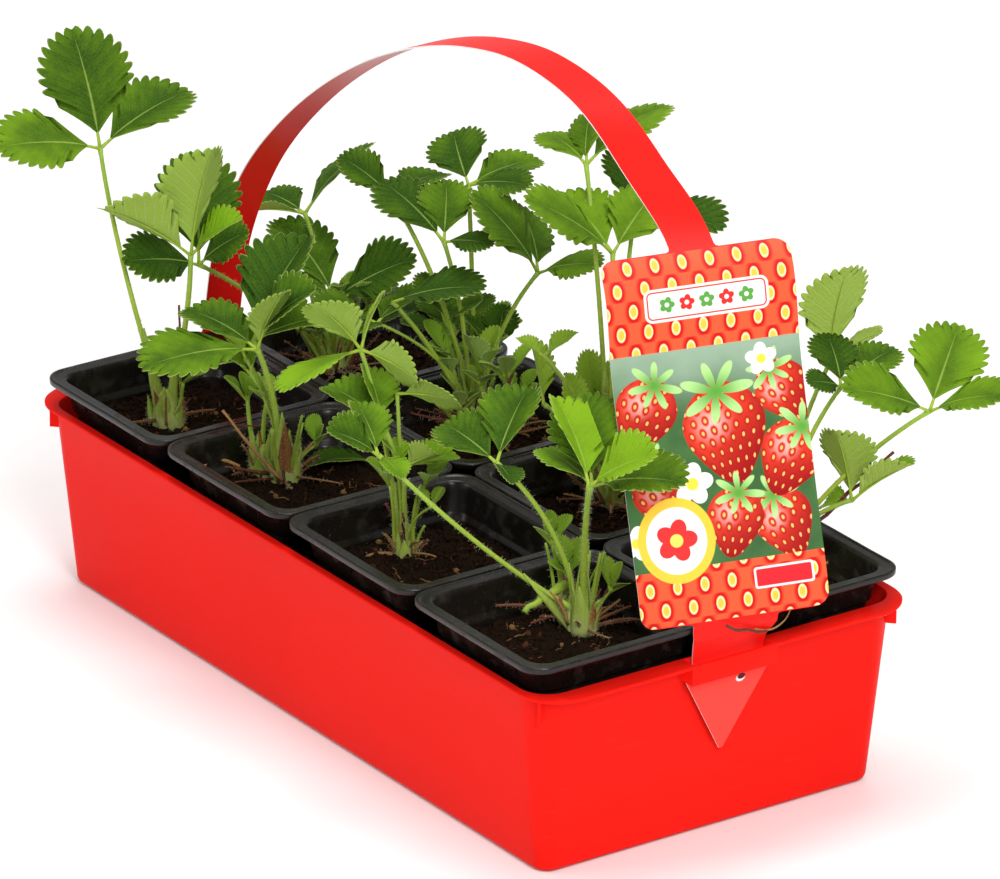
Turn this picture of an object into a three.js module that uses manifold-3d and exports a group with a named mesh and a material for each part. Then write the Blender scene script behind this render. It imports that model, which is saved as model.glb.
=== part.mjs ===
// Carry tray of eight potted strawberry plants with a die-cut handle strip.
// Millimetres, +Z up. The origin is the middle of the tray's underside. The tray is long in X,
// its labelled end looks along +X, and the front row of pots stands on the -Y side.

import * as THREE from 'three';
import { mergeVertices } from 'three/addons/utils/BufferGeometryUtils.js';
import Module from 'manifold-3d';

const wasm = await Module();
wasm.setup();
const { Manifold } = wasm;

// ---------------------------------------------------------------- driving dimensions

const tray = {
  length: 358.4,        // over the walls at the rim
  width: 176,
  height: 80,
  endTaper: 7.3,        // how far each end wall leans in at the bottom
  sideTaper: 8,
  wall: 1.5,
  floor: 2,
  cornerRadius: 13.5,   // of the walls at the rim
  footRadius: 7,        // and at the floor
  lipEnd: 8.4,          // how far the lip stands out at the ends
  lipSide: 2.9,         // and along the sides
  lipThickness: 1.5,
  lipCornerRadius: 19,
  ribHeight: 10,        // stiffening rib under the lip at each corner
  ribThickness: 1.4,
  ribReach: 3,
};

// At each end a slot runs down through the lip, outside the wall and behind a bridge.
const slot = {
  halfWidth: 19,
  bridge: 1.5,          // thickness of the bridge
  bottom: 71.8,
};

const pot = {
  size: 88.8,           // over the rim
  height: 91,
  pitchX: 90,
  pitchY: 89.4,
  shiftX: 2,            // the eight pots stand a little off the tray's middle
  shiftY: -1.8,
  baseHalf: 30,
  bodyHalf: 36.2,       // below the stacking step
  stepHeight: 77,
  collarHalf: 37.6,     // above the step
  lipWidth: 6,
  skirtDrop: 3.6,
  wall: 0.8,
  cornerRadius: 10,
  drainRadius: 5,
};

const soil = {
  gap: 0.35,            // to the pot's wall
  top: 74,              // above the pot's underside
  bump: 1,
  rootDepth: 14,
  holeGap: 0.3,
};

const strip = {
  thickness: 0.8,
  strapHalf: 9,
  panelHalf: 38,
  panelRadius: 6,
  stemHalf: 17,
  arrowHalf: 20.3,
  arrowShoulder: 70.8,  // height of the arrows' shoulders, under the bridges
  arrowTip: 37,
  wallGap: 1.6,         // from a wall's outside at the rim to the strip's middle
};

const columns = [-1.5, -0.5, 0.5, 1.5];
const rows = [-0.5, 0.5];
const seat = tray.floor + 0.2;
const soilLevel = seat + soil.top;

const red = new THREE.MeshStandardMaterial({ color: 0xe8281c, roughness: 0.42, metalness: 0 });
const card = new THREE.MeshStandardMaterial({ color: 0xe02c22, roughness: 0.3, metalness: 0 });
const black = new THREE.MeshStandardMaterial({ color: 0x26262a, roughness: 0.5, metalness: 0 });
const peat = new THREE.MeshStandardMaterial({ color: 0x20130e, roughness: 1, metalness: 0 });
const green = new THREE.MeshStandardMaterial({ color: 0x4c8a2a, roughness: 0.6, metalness: 0 });

// ---------------------------------------------------------------- building tools

const vec = (x, y, z) => new THREE.Vector3(x, y, z);
const radians = THREE.MathUtils.degToRad;
const { lerp } = THREE.MathUtils;

function toGeometry(points, triangles) {
  const geometry = new THREE.BufferGeometry();
  const flat = points.flatMap((p) => [p.x, p.y, p.z]);
  geometry.setAttribute('position', new THREE.Float32BufferAttribute(flat, 3));
  geometry.setIndex(triangles.flat());
  return geometry;
}

function toSolid(source) {
  const geometry = source.clone();
  geometry.deleteAttribute('normal');
  geometry.deleteAttribute('uv');
  const merged = mergeVertices(geometry, 1e-4);
  return new Manifold(new wasm.Mesh({
    numProp: 3,
    vertProperties: new Float32Array(merged.attributes.position.array),
    triVerts: new Uint32Array(merged.index.array),
  }));
}

function fromSolid(solid) {
  const { vertProperties, triVerts } = solid.getMesh();
  const geometry = new THREE.BufferGeometry();
  geometry.setAttribute('position', new THREE.BufferAttribute(vertProperties, 3));
  geometry.setIndex(new THREE.BufferAttribute(triVerts, 1));
  return geometry;
}

function named(name, geometry, material) {
  const mesh = new THREE.Mesh(geometry, material);
  mesh.name = name;
  return mesh;
}

// A horizontal rounded rectangle, counter-clockwise seen from above.
function roundedRing(halfX, halfY, radius, z, perCorner) {
  const points = [];
  for (let corner = 0; corner < 4; corner += 1) {
    const signX = corner === 0 || corner === 3 ? 1 : -1;
    const signY = corner < 2 ? 1 : -1;
    for (let i = 0; i <= perCorner; i += 1) {
      const angle = (corner + i / perCorner) * Math.PI / 2;
      const x = signX * (halfX - radius) + radius * Math.cos(angle);
      const y = signY * (halfY - radius) + radius * Math.sin(angle);
      points.push(vec(x, y, z));
    }
  }
  return points;
}

// Joins rings of equal count. An open stack is closed by a fan on its first and last ring.
function stackRings(rings, { looped = false } = {}) {
  const points = rings.flat();
  const count = rings[0].length;
  const triangles = [];
  const joints = looped ? rings.length : rings.length - 1;
  for (let k = 0; k < joints; k += 1) {
    const here = k * count;
    const next = ((k + 1) % rings.length) * count;
    for (let j = 0; j < count; j += 1) {
      const after = (j + 1) % count;
      triangles.push([here + j, here + after, next + after]);
      triangles.push([here + j, next + after, next + j]);
    }
  }
  if (!looped) {
    const last = (rings.length - 1) * count;
    for (const [start, flip] of [[0, true], [last, false]]) {
      const middle = vec(0, 0, 0);
      for (let j = 0; j < count; j += 1) middle.add(points[start + j]);
      points.push(middle.divideScalar(count));
      for (let j = 0; j < count; j += 1) {
        const after = (j + 1) % count;
        triangles.push(flip
          ? [points.length - 1, start + after, start + j]
          : [points.length - 1, start + j, start + after]);
      }
    }
  }
  return toGeometry(points, triangles);
}

// A round limb through the given points, with a radius at each of them.
function limb(path, radii, sides) {
  let side = vec(0, 0, 0);
  const rings = path.map((point, k) => {
    const before = path[Math.max(k - 1, 0)];
    const after = path[Math.min(k + 1, path.length - 1)];
    const along = after.clone().sub(before).normalize();
    if (k === 0) side = Math.abs(along.x) < 0.8 ? vec(1, 0, 0) : vec(0, 1, 0);
    side.addScaledVector(along, -side.dot(along)).normalize();
    const up = along.clone().cross(side);
    return Array.from({ length: sides }, (_, j) => {
      const angle = (j / sides) * 2 * Math.PI;
      return point.clone()
        .addScaledVector(side, radii[k] * Math.cos(angle))
        .addScaledVector(up, radii[k] * Math.sin(angle));
    });
  });
  return toSolid(stackRings(rings));
}

function box(sizeX, sizeY, sizeZ, x, y, z, turn = 0) {
  return toSolid(new THREE.BoxGeometry(sizeX, sizeY, sizeZ).rotateZ(turn).translate(x, y, z));
}

// ---------------------------------------------------------------- tray

const lean = (z) => 1 - z / tray.height;

function trayShell() {
  const radiusAt = (z) => lerp(tray.footRadius, tray.cornerRadius, z / tray.height);
  const ring = (growX, growY, z, radius = radiusAt(z) + Math.min(growX, 0)) => roundedRing(
    tray.length / 2 - tray.endTaper * lean(z) + growX,
    tray.width / 2 - tray.sideTaper * lean(z) + growY,
    radius, z, 4);
  const { wall, floor, height, lipEnd, lipSide, lipCornerRadius } = tray;
  const underLip = height - tray.lipThickness;
  return toSolid(stackRings([
    ring(-1.5, -1.5, 0),
    ring(0, 0, 1.5),
    ring(0, 0, underLip),
    ring(lipEnd, lipSide, underLip, lipCornerRadius),
    ring(lipEnd, lipSide, height, lipCornerRadius),
    ring(-wall, -wall, height),
    ring(-wall, -wall, floor + 1.5),
    ring(-wall - 1.5, -wall - 1.5, floor),
  ]));
}

// A rib stands out from each corner of the wall, under the lip.
function cornerRibs() {
  const inWall = 1.2;
  const { ribReach, ribThickness, ribHeight, cornerRadius } = tray;
  const z = tray.height - tray.lipThickness - ribHeight / 2 + 0.2;
  const out = cornerRadius + (ribReach - inWall) / 2;
  const x = tray.length / 2 - cornerRadius + out * Math.SQRT1_2;
  const y = tray.width / 2 - cornerRadius + out * Math.SQRT1_2;
  return [[1, 1], [-1, 1], [-1, -1], [1, -1]].map(([signX, signY]) => box(
    ribReach + inWall, ribThickness, ribHeight + 0.4,
    signX * x, signY * y, z, signX * signY * Math.PI / 4));
}

function makeTray() {
  const { halfWidth, bridge, bottom } = slot;
  const wallX = tray.length / 2;
  const outerX = wallX + tray.lipEnd;
  const rise = tray.height - 0.5 - bottom;
  const depth = tray.lipEnd - bridge - 0.2;
  const block = box(tray.lipEnd + 0.8, 2 * (halfWidth + bridge), rise,
    outerX - (tray.lipEnd + 0.8) / 2, 0, bottom + rise / 2);
  const hole = box(depth, 2 * halfWidth, 20, wallX + 0.2 + depth / 2, 0, bottom + 8);
  const halfTurn = [0, 0, 180];
  const solid = trayShell()
    .add(Manifold.union(cornerRibs()))
    .add(block.add(block.rotate(halfTurn)))
    .subtract(hole.add(hole.rotate(halfTurn)));
  return named('tray', fromSolid(solid), red);
}

// ---------------------------------------------------------------- pots and soil

const potFloor = pot.wall + 1.2;
const potNeck = pot.stepHeight - 0.8;
const potInside = (z) => lerp(pot.baseHalf - pot.wall, pot.bodyHalf - pot.wall - 0.4,
  (z - potFloor) / (potNeck - potFloor));

function makePot(name, place) {
  const { size, height, baseHalf, bodyHalf, stepHeight, collarHalf, wall, cornerRadius } = pot;
  const half = size / 2;
  const opening = half - pot.lipWidth;
  const ring = (h, z, radius) => roundedRing(h, h, radius, z, 2);
  const drain = (z) => ring(pot.drainRadius, z, pot.drainRadius - 0.01);
  const outside = [
    drain(0),
    ring(baseHalf - 1, 0, 7),
    ring(baseHalf, 1.4, 8),
    ring(bodyHalf, potNeck, cornerRadius - 1),
    ring(collarHalf, stepHeight + 0.6, cornerRadius - 0.5),
    ring(opening + wall, height - wall - 0.4, cornerRadius - 0.5),
    ring(half - wall - 0.4, height - wall - 0.4, cornerRadius),
    ring(half - wall, height - pot.skirtDrop, cornerRadius),
    ring(half, height - pot.skirtDrop, cornerRadius),
    ring(half - 0.9, height, cornerRadius),
  ];
  const inside = [
    ring(opening, height, cornerRadius - 2),
    ring(collarHalf - wall, stepHeight + 0.6, cornerRadius - 2),
    ring(potInside(potNeck), potNeck, cornerRadius - 2),
    ring(potInside(potFloor), potFloor, 7),
    drain(wall + 0.4),
  ];
  const mesh = named(name, stackRings([...outside, ...inside], { looped: true }), black);
  mesh.position.set(place.x, place.y, seat);
  return mesh;
}

// An upright eight-sided post, for a root neck and for the hole that it stands in.
function post([x, y], radius, bottom, top) {
  const ring = (z) => Array.from({ length: 8 }, (_, i) => {
    const angle = (i / 8) * 2 * Math.PI;
    return vec(x + radius * Math.cos(angle), y + radius * Math.sin(angle), z);
  });
  return toSolid(stackRings([ring(bottom), ring(top)]));
}

function makeSoil(name, place, plant) {
  const bottom = pot.wall + 1.7;
  const half = (z) => potInside(z) - soil.gap;
  const ripple = (x, y) => soil.bump * (
    0.55 * Math.sin(0.23 * x + plant.phase) * Math.cos(0.19 * y - plant.phase)
    + 0.45 * Math.sin(0.41 * y + 0.33 * x + 2 * plant.phase));
  const topRing = (share) => roundedRing(half(soil.top) * share, half(soil.top) * share,
    8 * share, soil.top, 2).map((p) => vec(p.x, p.y, soil.top + ripple(p.x, p.y)));
  const block = toSolid(stackRings([
    roundedRing(half(bottom) - 0.6, half(bottom) - 0.6, 7, bottom, 2),
    topRing(1), topRing(0.7), topRing(0.35),
  ]));
  const holes = feetOf(plant).map(([x, y]) => post([x - place.x, y - place.y],
    plant.crown + soil.holeGap, soil.top - soil.rootDepth - soil.holeGap, soil.top + 6));
  const mesh = named(name, fromSolid(block.subtract(Manifold.union(holes))), peat);
  mesh.position.set(place.x, place.y, seat);
  return mesh;
}

// ---------------------------------------------------------------- handle strip

// The strip's middle line from the far arrow, over the arch and down the label to the near
// arrow. Each stop gives its place and how far the strip is turned toward -Y there, in degrees.
function stripRoute() {
  const endX = tray.length / 2 + strip.wallGap;
  const { arrowShoulder, arrowTip } = strip;
  return [
    [vec(2.2 - endX, 0, arrowTip), 0],
    [vec(-endX, 0, arrowShoulder), 0],
    [vec(-endX, 0, 82), 0],
    [vec(-177.5, 0, 106), 0],
    [vec(-170.5, 0, 134.5), 0],
    [vec(-148, 0, 175.5), 0],
    [vec(-112, 0, 213.5), 0],
    [vec(-68, 0, 246), 0],
    [vec(-26, 0, 267.5), 0],
    [vec(14, 0, 280.5), 0],
    [vec(51.2, 0, 285.5), 2],
    [vec(88.7, 1.5, 278.8), 7],
    [vec(116.8, 4, 260.4), 14],
    [vec(144.5, 7.6, 234.8), 21.5],
    [vec(159.2, 4.8, 188.8), 21.5],
    [vec(173.8, 2, 142.8), 21.5],
    [vec(188.5, -0.9, 96.8), 21.5],
    [vec(186.4, 0, 90.5), 12],
    [vec(182.6, 0.8, 84), 3],
    [vec(endX, 1.2, 77.5), 0],
    [vec(endX, 1.2, arrowShoulder), 0],
    [vec(endX - 2.2, -0.2, arrowTip), 0],
  ];
}

function makeStrip() {
  const route = stripRoute();
  const curve = new THREE.CatmullRomCurve3(route.map(([place]) => place), false, 'centripetal');
  const steps = 1200;
  const length = curve.getLength();
  curve.arcLengthDivisions = steps;
  curve.updateArcLengths();
  const distanceTo = (stop) => {
    const share = stop / (route.length - 1);
    return curve.getLengths(steps)[Math.round(share * steps)];
  };
  const turnAt = (distance) => {
    const stops = route.map((_, i) => distanceTo(i));
    const next = Math.max(1, stops.findIndex((d) => d >= distance - 1e-6));
    const share = (distance - stops[next - 1]) / (stops[next] - stops[next - 1]);
    return lerp(route[next - 1][1], route[next][1], Math.min(Math.max(share, 0), 1));
  };
  const panelTop = distanceTo(13);
  const panelBottom = distanceTo(16);
  const nearShoulder = distanceTo(route.length - 2);
  const farShoulder = distanceTo(1);
  // [distance along the strip, half width]
  const outline = [[0.2, 0.8], [farShoulder - 0.4, strip.arrowHalf],
    [farShoulder + 0.4, strip.stemHalf], [farShoulder + 12, strip.stemHalf]];
  const strapSteps = 22;
  const strapFrom = farShoulder + 24;
  for (let i = 0; i <= strapSteps; i += 1) {
    outline.push([lerp(strapFrom, panelTop - 1, i / strapSteps), strip.strapHalf]);
  }
  const corner = (start, direction) => [0, 1, 2].map((i) => {
    const angle = radians(i * 45);
    return [start + direction * strip.panelRadius * (1 - Math.cos(angle)),
      strip.panelHalf - strip.panelRadius * (1 - Math.sin(angle))];
  });
  outline.push(...corner(panelTop, 1));
  for (const share of [0.25, 0.5, 0.75]) {
    outline.push([lerp(panelTop, panelBottom, share), strip.panelHalf]);
  }
  outline.push(...corner(panelBottom, -1).reverse());
  for (const share of [0.03, 0.2, 0.35, 0.5, 0.65, 0.97]) {
    outline.push([lerp(panelBottom, nearShoulder, share), strip.stemHalf]);
  }
  outline.push([nearShoulder + 0.4, strip.arrowHalf], [length - 0.2, 0.8]);

  const rings = outline.map(([distance, halfWidth]) => {
    const share = distance / length;
    const centre = curve.getPointAt(share);
    const along = curve.getTangentAt(share);
    const turn = radians(turnAt(distance));
    const across = vec(Math.sin(turn), Math.cos(turn), 0);
    across.addScaledVector(along, -across.dot(along)).normalize();
    const out = along.clone().cross(across).multiplyScalar(strip.thickness / 2);
    return [[-1, -1], [1, -1], [1, 1], [-1, 1]].map(([side, face]) => centre.clone()
      .addScaledVector(across, side * halfWidth)
      .addScaledVector(out, face));
  });
  return named('handle_strip', stackRings(rings), card);
}

// ---------------------------------------------------------------- leaves and crowns

// Half of a leaflet's outline, as [share of length, share of half width]: its short stalk, the
// wedge, and coarse teeth round the outer part. The outline's last point is the tip, on the rib.
const stalkShare = 0.13;
const wedge = [0.36, 0.6];

function leafletMargin(teeth) {
  const round = (angle, reach) => [
    0.6 + 0.4 * Math.sin(radians(angle)) * reach,
    Math.cos(radians(angle)) * reach,
  ];
  const first = -22;
  const step = (84 - first) / teeth;
  const toothed = Array.from({ length: teeth }, (_, i) => [
    round(first + i * step, 1.04),
    round(first + (i + 0.45) * step, 0.94),
  ]);
  return [[0, 0.06], [stalkShare, 0.07], wedge, ...toothed.flat()];
}

// One leaflet as a thin, folded and arched blade with a toothed edge. The rib's points are the
// foot, the stalk's end, the middle and the tip.
function leaflet(base, [heading, rise, roll, length], shape) {
  const [turn, tilt, twist] = [heading, rise, roll].map(radians);
  const level = Math.cos(tilt);
  const along = vec(level * Math.cos(turn), level * Math.sin(turn), Math.sin(tilt));
  const sideways = vec(-Math.sin(turn), Math.cos(turn), 0);
  const across = sideways.clone().multiplyScalar(Math.cos(twist))
    .addScaledVector(along.clone().cross(sideways), Math.sin(twist));
  const up = along.clone().cross(across);

  const lift = Math.tan(radians(shape.fold));
  const place = (share, offset) => base.clone()
    .addScaledVector(along, share * length)
    .addScaledVector(across, offset)
    .addScaledVector(up, Math.abs(offset) * lift + length * shape.arch * share * (1 - share));

  const halfWidth = length * shape.width / 2;
  const margin = leafletMargin(length > 38 ? 3 : 2);
  const rib = [0, stalkShare, 0.56, 1];
  const side = (sign) => margin.map(([share, width]) => place(share, sign * width * halfWidth));
  const face = [...rib.map((share) => place(share, 0)), ...side(1), ...side(-1)];
  const [foot, stalkEnd, middle, tip] = rib.keys();
  const left = rib.length;
  const right = left + margin.length;
  const last = margin.length - 1;
  const turnover = margin.findIndex(([share]) => share > 0.52);
  const half = (start) => {
    const triangles = [
      [foot, stalkEnd, start + 1], [foot, start + 1, start],
      [stalkEnd, middle, start + turnover], [middle, tip, start + last],
    ];
    for (let i = 1; i < turnover; i += 1) triangles.push([stalkEnd, start + i + 1, start + i]);
    for (let i = turnover; i < last; i += 1) triangles.push([middle, start + i + 1, start + i]);
    return triangles;
  };
  const upper = [...half(left), ...half(right).map(([a, b, c]) => [a, c, b])];

  const count = face.length;
  const offset = up.multiplyScalar(shape.thickness / 2);
  const points = [...face.map((p) => p.clone().add(offset)), ...face.map((p) => p.clone().sub(offset))];
  const lower = upper.map(([a, b, c]) => [a + count, c + count, b + count]);
  const edge = [foot, ...margin.keys().map((i) => right + i), tip,
    ...margin.map((_, i) => left + i).reverse()];
  const walls = edge.flatMap((a, i) => {
    const b = edge[(i + 1) % edge.length];
    return [[a, a + count, b], [b, a + count, b + count]];
  });
  return toSolid(toGeometry(points, [...upper, ...lower, ...walls]));
}

const mature = { width: 0.72, fold: 12, arch: 0.24, thickness: 0.8 };
const folded = { width: 0.66, fold: 28, arch: 0.2, thickness: 0.8 };
const young = { width: 0.5, fold: 38, arch: 0.1, thickness: 0.9 };
const sliver = 0.06;    // details finer than this are merged where limbs and blades meet

// A leaf: its petiole from the crown to the hub, where it ends in a small joint that holds
// the feet of the leaflets. bow and bend say how far the petiole's knee is on its way out and up.
function leaf(foot, { hub, bow = 0.2, bend = 0.62, blades, habit = mature, stem = 1.3 }) {
  const top = foot.clone().add(vec(...hub));
  const reach = vec(hub[0], hub[1], 0);
  const start = foot.clone().add(vec(0, 0, 7));
  if (reach.length() > 0.1) start.addScaledVector(reach.normalize(), 1.6);
  const knee = vec(lerp(start.x, top.x, bow), lerp(start.y, top.y, bow),
    lerp(start.z, top.z, bend));
  const path = new THREE.QuadraticBezierCurve3(start, knee, top).getPoints(3);
  const end = top.clone().sub(knee).normalize();
  path[3].addScaledVector(end, -1.4);
  path.push(top.clone().addScaledVector(end, 1.5));
  const petiole = limb(path, [stem * 1.4, stem * 1.2, stem, stem, stem * 1.5], 5);
  return [petiole, ...blades.map((blade) => leaflet(top, blade, habit))];
}

const feetOf = (plant) => (plant.second
  ? [plant.foot, [plant.foot[0] + plant.second[0], plant.foot[1] + plant.second[1]]]
  : [plant.foot]);

// The crown: a root neck in the soil under a leaning stub, with pointed sheaths round it. A
// plant with two crowns has a short runner between them, just over the soil.
function crownParts(plant, level) {
  const { crown, phase, sheaths } = plant;
  const parts = feetOf(plant).flatMap(([x, y], k) => {
    const base = vec(x, y, level);
    const tall = plant.tall * (k === 0 ? 1 : 0.75);
    const ring = (radius, shiftX, shiftY, z) => Array.from({ length: 8 }, (_, i) => {
      const angle = (i / 8) * 2 * Math.PI;
      return base.clone()
        .add(vec(shiftX + radius * Math.cos(angle), shiftY + radius * Math.sin(angle), z));
    });
    const stub = toSolid(stackRings([
      ring(crown, 0, 0, -soil.rootDepth), ring(crown, 0, 0, 3),
      ring(crown * 0.8, 0.6, -0.4, tall * 0.5), ring(crown * 0.5, 1.6, -0.8, tall),
    ]));
    const leaves = Array.from({ length: sheaths }, (_, i) => {
      const angle = phase + (i / sheaths) * 2 * Math.PI;
      const out = vec(Math.cos(angle), Math.sin(angle), 0);
      return limb([
        base.clone().addScaledVector(out, crown * 0.45).add(vec(0, 0, 1.8)),
        base.clone().addScaledVector(out, crown * 0.8).add(vec(0, 0, tall * 0.6)),
        base.clone().addScaledVector(out, crown * 1.2).add(vec(0, 0, tall * 1.05)),
      ], [crown * 0.45, crown * 0.35, 0.7], 4);
    });
    return [stub, ...leaves];
  });
  const [first, second] = feetOf(plant);
  if (second) {
    const at = ([x, y]) => vec(x, y, level + 5);
    parts.push(limb([at(first), at(second)], [2.6, 2.2], 6));
  }
  return parts;
}

function stalk(foot, { from = [0, 0, 8], via, to, thick = 1.1 }) {
  const at = (offset) => foot.clone().add(vec(...offset));
  const middle = via ?? [0, 1, 2].map((i) => (from[i] + to[i]) / 2);
  const path = new THREE.QuadraticBezierCurve3(at(from), at(middle), at(to)).getPoints(2);
  return limb(path, [thick, thick * 0.9, thick * 0.75], 4);
}

function makePlant(name, plant) {
  const foot = vec(plant.foot[0], plant.foot[1], soilLevel);
  const parts = [
    ...crownParts(plant, soilLevel),
    ...plant.leaves.flatMap((one) => leaf(foot, one)),
    ...(plant.stalks ?? []).map((one) => stalk(foot, one)),
  ];
  return named(name, fromSolid(Manifold.union(parts).simplify(sliver)), green);
}

// The plants, as they stand in the tray. foot is the crown's place; hubs are measured from it.
// Each blade is [heading from +X toward +Y, rise above level, roll about its rib, length].
const plants = [
  {
    foot: [-138, -54], crown: 8, tall: 27, sheaths: 3, phase: 0.4,
    leaves: [
      { hub: [-27, -14, 116], bow: 0.8,
        blades: [[175, 65, -10, 50], [-100, 10, -20, 47], [90, 20, 5, 46]] },
      { hub: [2, 11, 73], bow: 1, stem: 1.5, habit: folded,
        blades: [[50, 78, -40, 48], [-105, 35, 40, 44], [45, 40, 15, 28]] },
    ],
    stalks: [
      { from: [-3, 0, 10], to: [-17, -6, 52], thick: 1.3 },
      { from: [2, 4, 10], to: [-2, 8, 50], thick: 0.9 },
    ],
  },
  {
    foot: [-62, -46], second: [-9, -4], crown: 5, tall: 24, sheaths: 3, phase: 1.1,
    leaves: [
      { hub: [3, -15, 62], stem: 1.6,
        blades: [[-100, 0, -5, 50], [-160, 15, 0, 36], [30, 65, -15, 30]] },
      { hub: [-6, -11, 62], habit: folded,
        blades: [[110, 40, -15, 50], [35, 45, 25, 38], [85, 5, 5, 34]] },
      { hub: [-14, -9, 50], habit: young, blades: [[170, 25, -10, 26], [-85, 10, -10, 23]] },
    ],
    stalks: [{ from: [-2, -3, 6], via: [-10, -8, 22], to: [-22, -10, 30], thick: 1.5 }],
  },
  {
    foot: [28, -48], crown: 4.5, tall: 15, sheaths: 3, phase: 2.3,
    leaves: [
      { hub: [-18, -9, 85], bow: 0.4,
        blades: [[-95, 50, 40, 31], [-85, -12, 20, 39], [15, -10, -70, 30], [110, 50, -55, 25]] },
      { hub: [-4, -1, 69], stem: 1.1, blades: [[25, 5, -50, 28]] },
      { hub: [0, -11, 60], bow: -0.2, habit: folded, blades: [[-170, 15, -5, 30], [165, 35, 30, 27]] },
      { hub: [7, -5, 42], habit: folded,
        blades: [[15, 30, -40, 21], [85, 0, 10, 24], [175, 20, 20, 18]] },
    ],
    stalks: [
      { from: [1, -1, 6], to: [11, -8, 24], thick: 0.9 },
      { from: [-1, 1, 6], to: [-9, -3, 20], thick: 1.2 },
    ],
  },
  {
    foot: [126, -30], second: [-13, 3], crown: 6, tall: 22, sheaths: 3, phase: 0.9,
    leaves: [
      { hub: [-60, -56, 66], bow: 0.45, bend: 0.3, habit: folded,
        blades: [[-100, 35, -30, 27], [170, 30, 20, 27], [0, -10, -5, 18]] },
      { hub: [-15, -31, 73], habit: folded,
        blades: [[-175, 12, -20, 32], [120, 35, -10, 36], [-15, -5, -20, 18]] },
      { hub: [31, -19, 77], stem: 1.6, habit: folded, blades: [[170, 38, 25, 40], [30, 35, 30, 35]] },
      { hub: [26, -14, 74], bow: -0.2,
        blades: [[155, 45, -15, 38], [30, 13, 10, 41], [-170, 12, 10, 30]] },
    ],
    stalks: [
      { from: [-13, 3, 8], via: [-15, -8, 13], to: [-17, -22, 9], thick: 2 },
      { from: [-12, 2, 8], to: [-18, 8, 30], thick: 1.4 },
    ],
  },
  {
    foot: [-146, 34], crown: 6, tall: 20, sheaths: 3, phase: 1.9,
    leaves: [
      { hub: [-4, -64, 61], bow: 0.5,
        blades: [[152, 66, 5, 46], [-95, 14, -28, 36], [38, 40, 35, 28]] },
      { hub: [-17, -3, 66], blades: [[-175, 0, -10, 28], [-130, 0, 30, 22], [90, 35, -27, 41]] },
      { hub: [9, -5, 37], blades: [[-170, 35, 5, 43], [-105, 30, -15, 21], [45, 30, 30, 39]] },
    ],
  },
  {
    foot: [-62, 48], second: [13, 2], crown: 6, tall: 28, sheaths: 3, phase: 0.2,
    leaves: [
      { hub: [-38, -16, 94], bow: 0.3, blades: [[-140, 35, -20, 27], [100, 5, -5, 29]] },
      { hub: [-10, -9, 82], blades: [[-165, 28, -5, 38], [140, 35, 0, 30], [30, 5, 10, 22]] },
      { hub: [-33, 19, 93], bow: 0.3, blades: [[160, 20, -20, 33], [85, 8, 0, 34], [30, 10, 10, 29]] },
      { hub: [-12, -33, 60], bow: 0.5, blades: [[42, 15, 5, 40]] },
      { hub: [9, 25, 67], blades: [[-135, 50, -10, 43], [160, 30, 40, 36], [30, 17, 10, 30]] },
    ],
    stalks: [{ from: [12, 2, 12], to: [24, 8, 44], thick: 1.5 }],
  },
  {
    foot: [32, 50], crown: 6, tall: 22, sheaths: 3, phase: 2.8,
    leaves: [
      { hub: [-17, 12, 101], blades: [[-110, 36, -15, 45], [-180, 20, 0, 40], [110, 28, 12, 36]] },
      { hub: [-49, 21, 127], bow: 0.35,
        blades: [[-180, 10, 5, 28], [138, 34, -38, 28], [94, 20, -13, 45]] },
      { hub: [-36, 36, 106], bow: 0.3, blades: [[155, 38, 15, 32], [28, 2, 10, 40]] },
      { hub: [-21, -19, 62], habit: young, blades: [[100, 13, -5, 20], [-175, 10, 0, 16]] },
      { hub: [-20, -19, 41], habit: young, blades: [[160, 40, 45, 31]] },
    ],
  },
  {
    foot: [124, 64], crown: 6, tall: 20, sheaths: 3, phase: 1.5,
    leaves: [
      { hub: [10, 25, 78], blades: [[155, 32, 5, 26], [-90, 20, -25, 18], [95, 17, 5, 30]] },
      { hub: [38, 48, 72], bow: 0.4,
        blades: [[122, 38, 15, 40], [-105, 20, -20, 39], [28, 22, 10, 36]] },
      { hub: [-14, 37, 77], blades: [[30, 80, -28, 43], [90, 15, -50, 26]] },
      { hub: [20, 24, 33], habit: folded,
        blades: [[-87, 75, 25, 33], [35, 37, -20, 32], [-170, -26, -25, 18]] },
    ],
    stalks: [{ from: [2, 3, 8], to: [26, 40, 52], thick: 1.2 }],
  },
];

// ---------------------------------------------------------------- assembly

const group = new THREE.Group();
group.add(makeTray(), makeStrip());

// How far each pot stands from its even place, along X and along Y.
const shifts = [[0.5, 0], [0.2, 0.1], [-0.2, 0], [-0.4, -0.4], [0, 0.2], [0.2, 0], [-0.2, 0.2], [0, 0.1]];

rows.forEach((row, r) => columns.forEach((column, c) => {
  const index = r * columns.length + c;
  const [shiftX, shiftY] = shifts[index];
  const place = {
    x: pot.shiftX + column * pot.pitchX + shiftX,
    y: pot.shiftY + row * pot.pitchY + shiftY,
  };
  const plant = plants[index];
  group.add(
    makePot(`pot_${index + 1}`, place),
    makeSoil(`soil_${index + 1}`, place, plant),
    makePlant(`plant_${index + 1}`, plant));
}));

export default group;
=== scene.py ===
import bisect
import math
import random
import bpy
from mathutils import Matrix, Vector, noise


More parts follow.
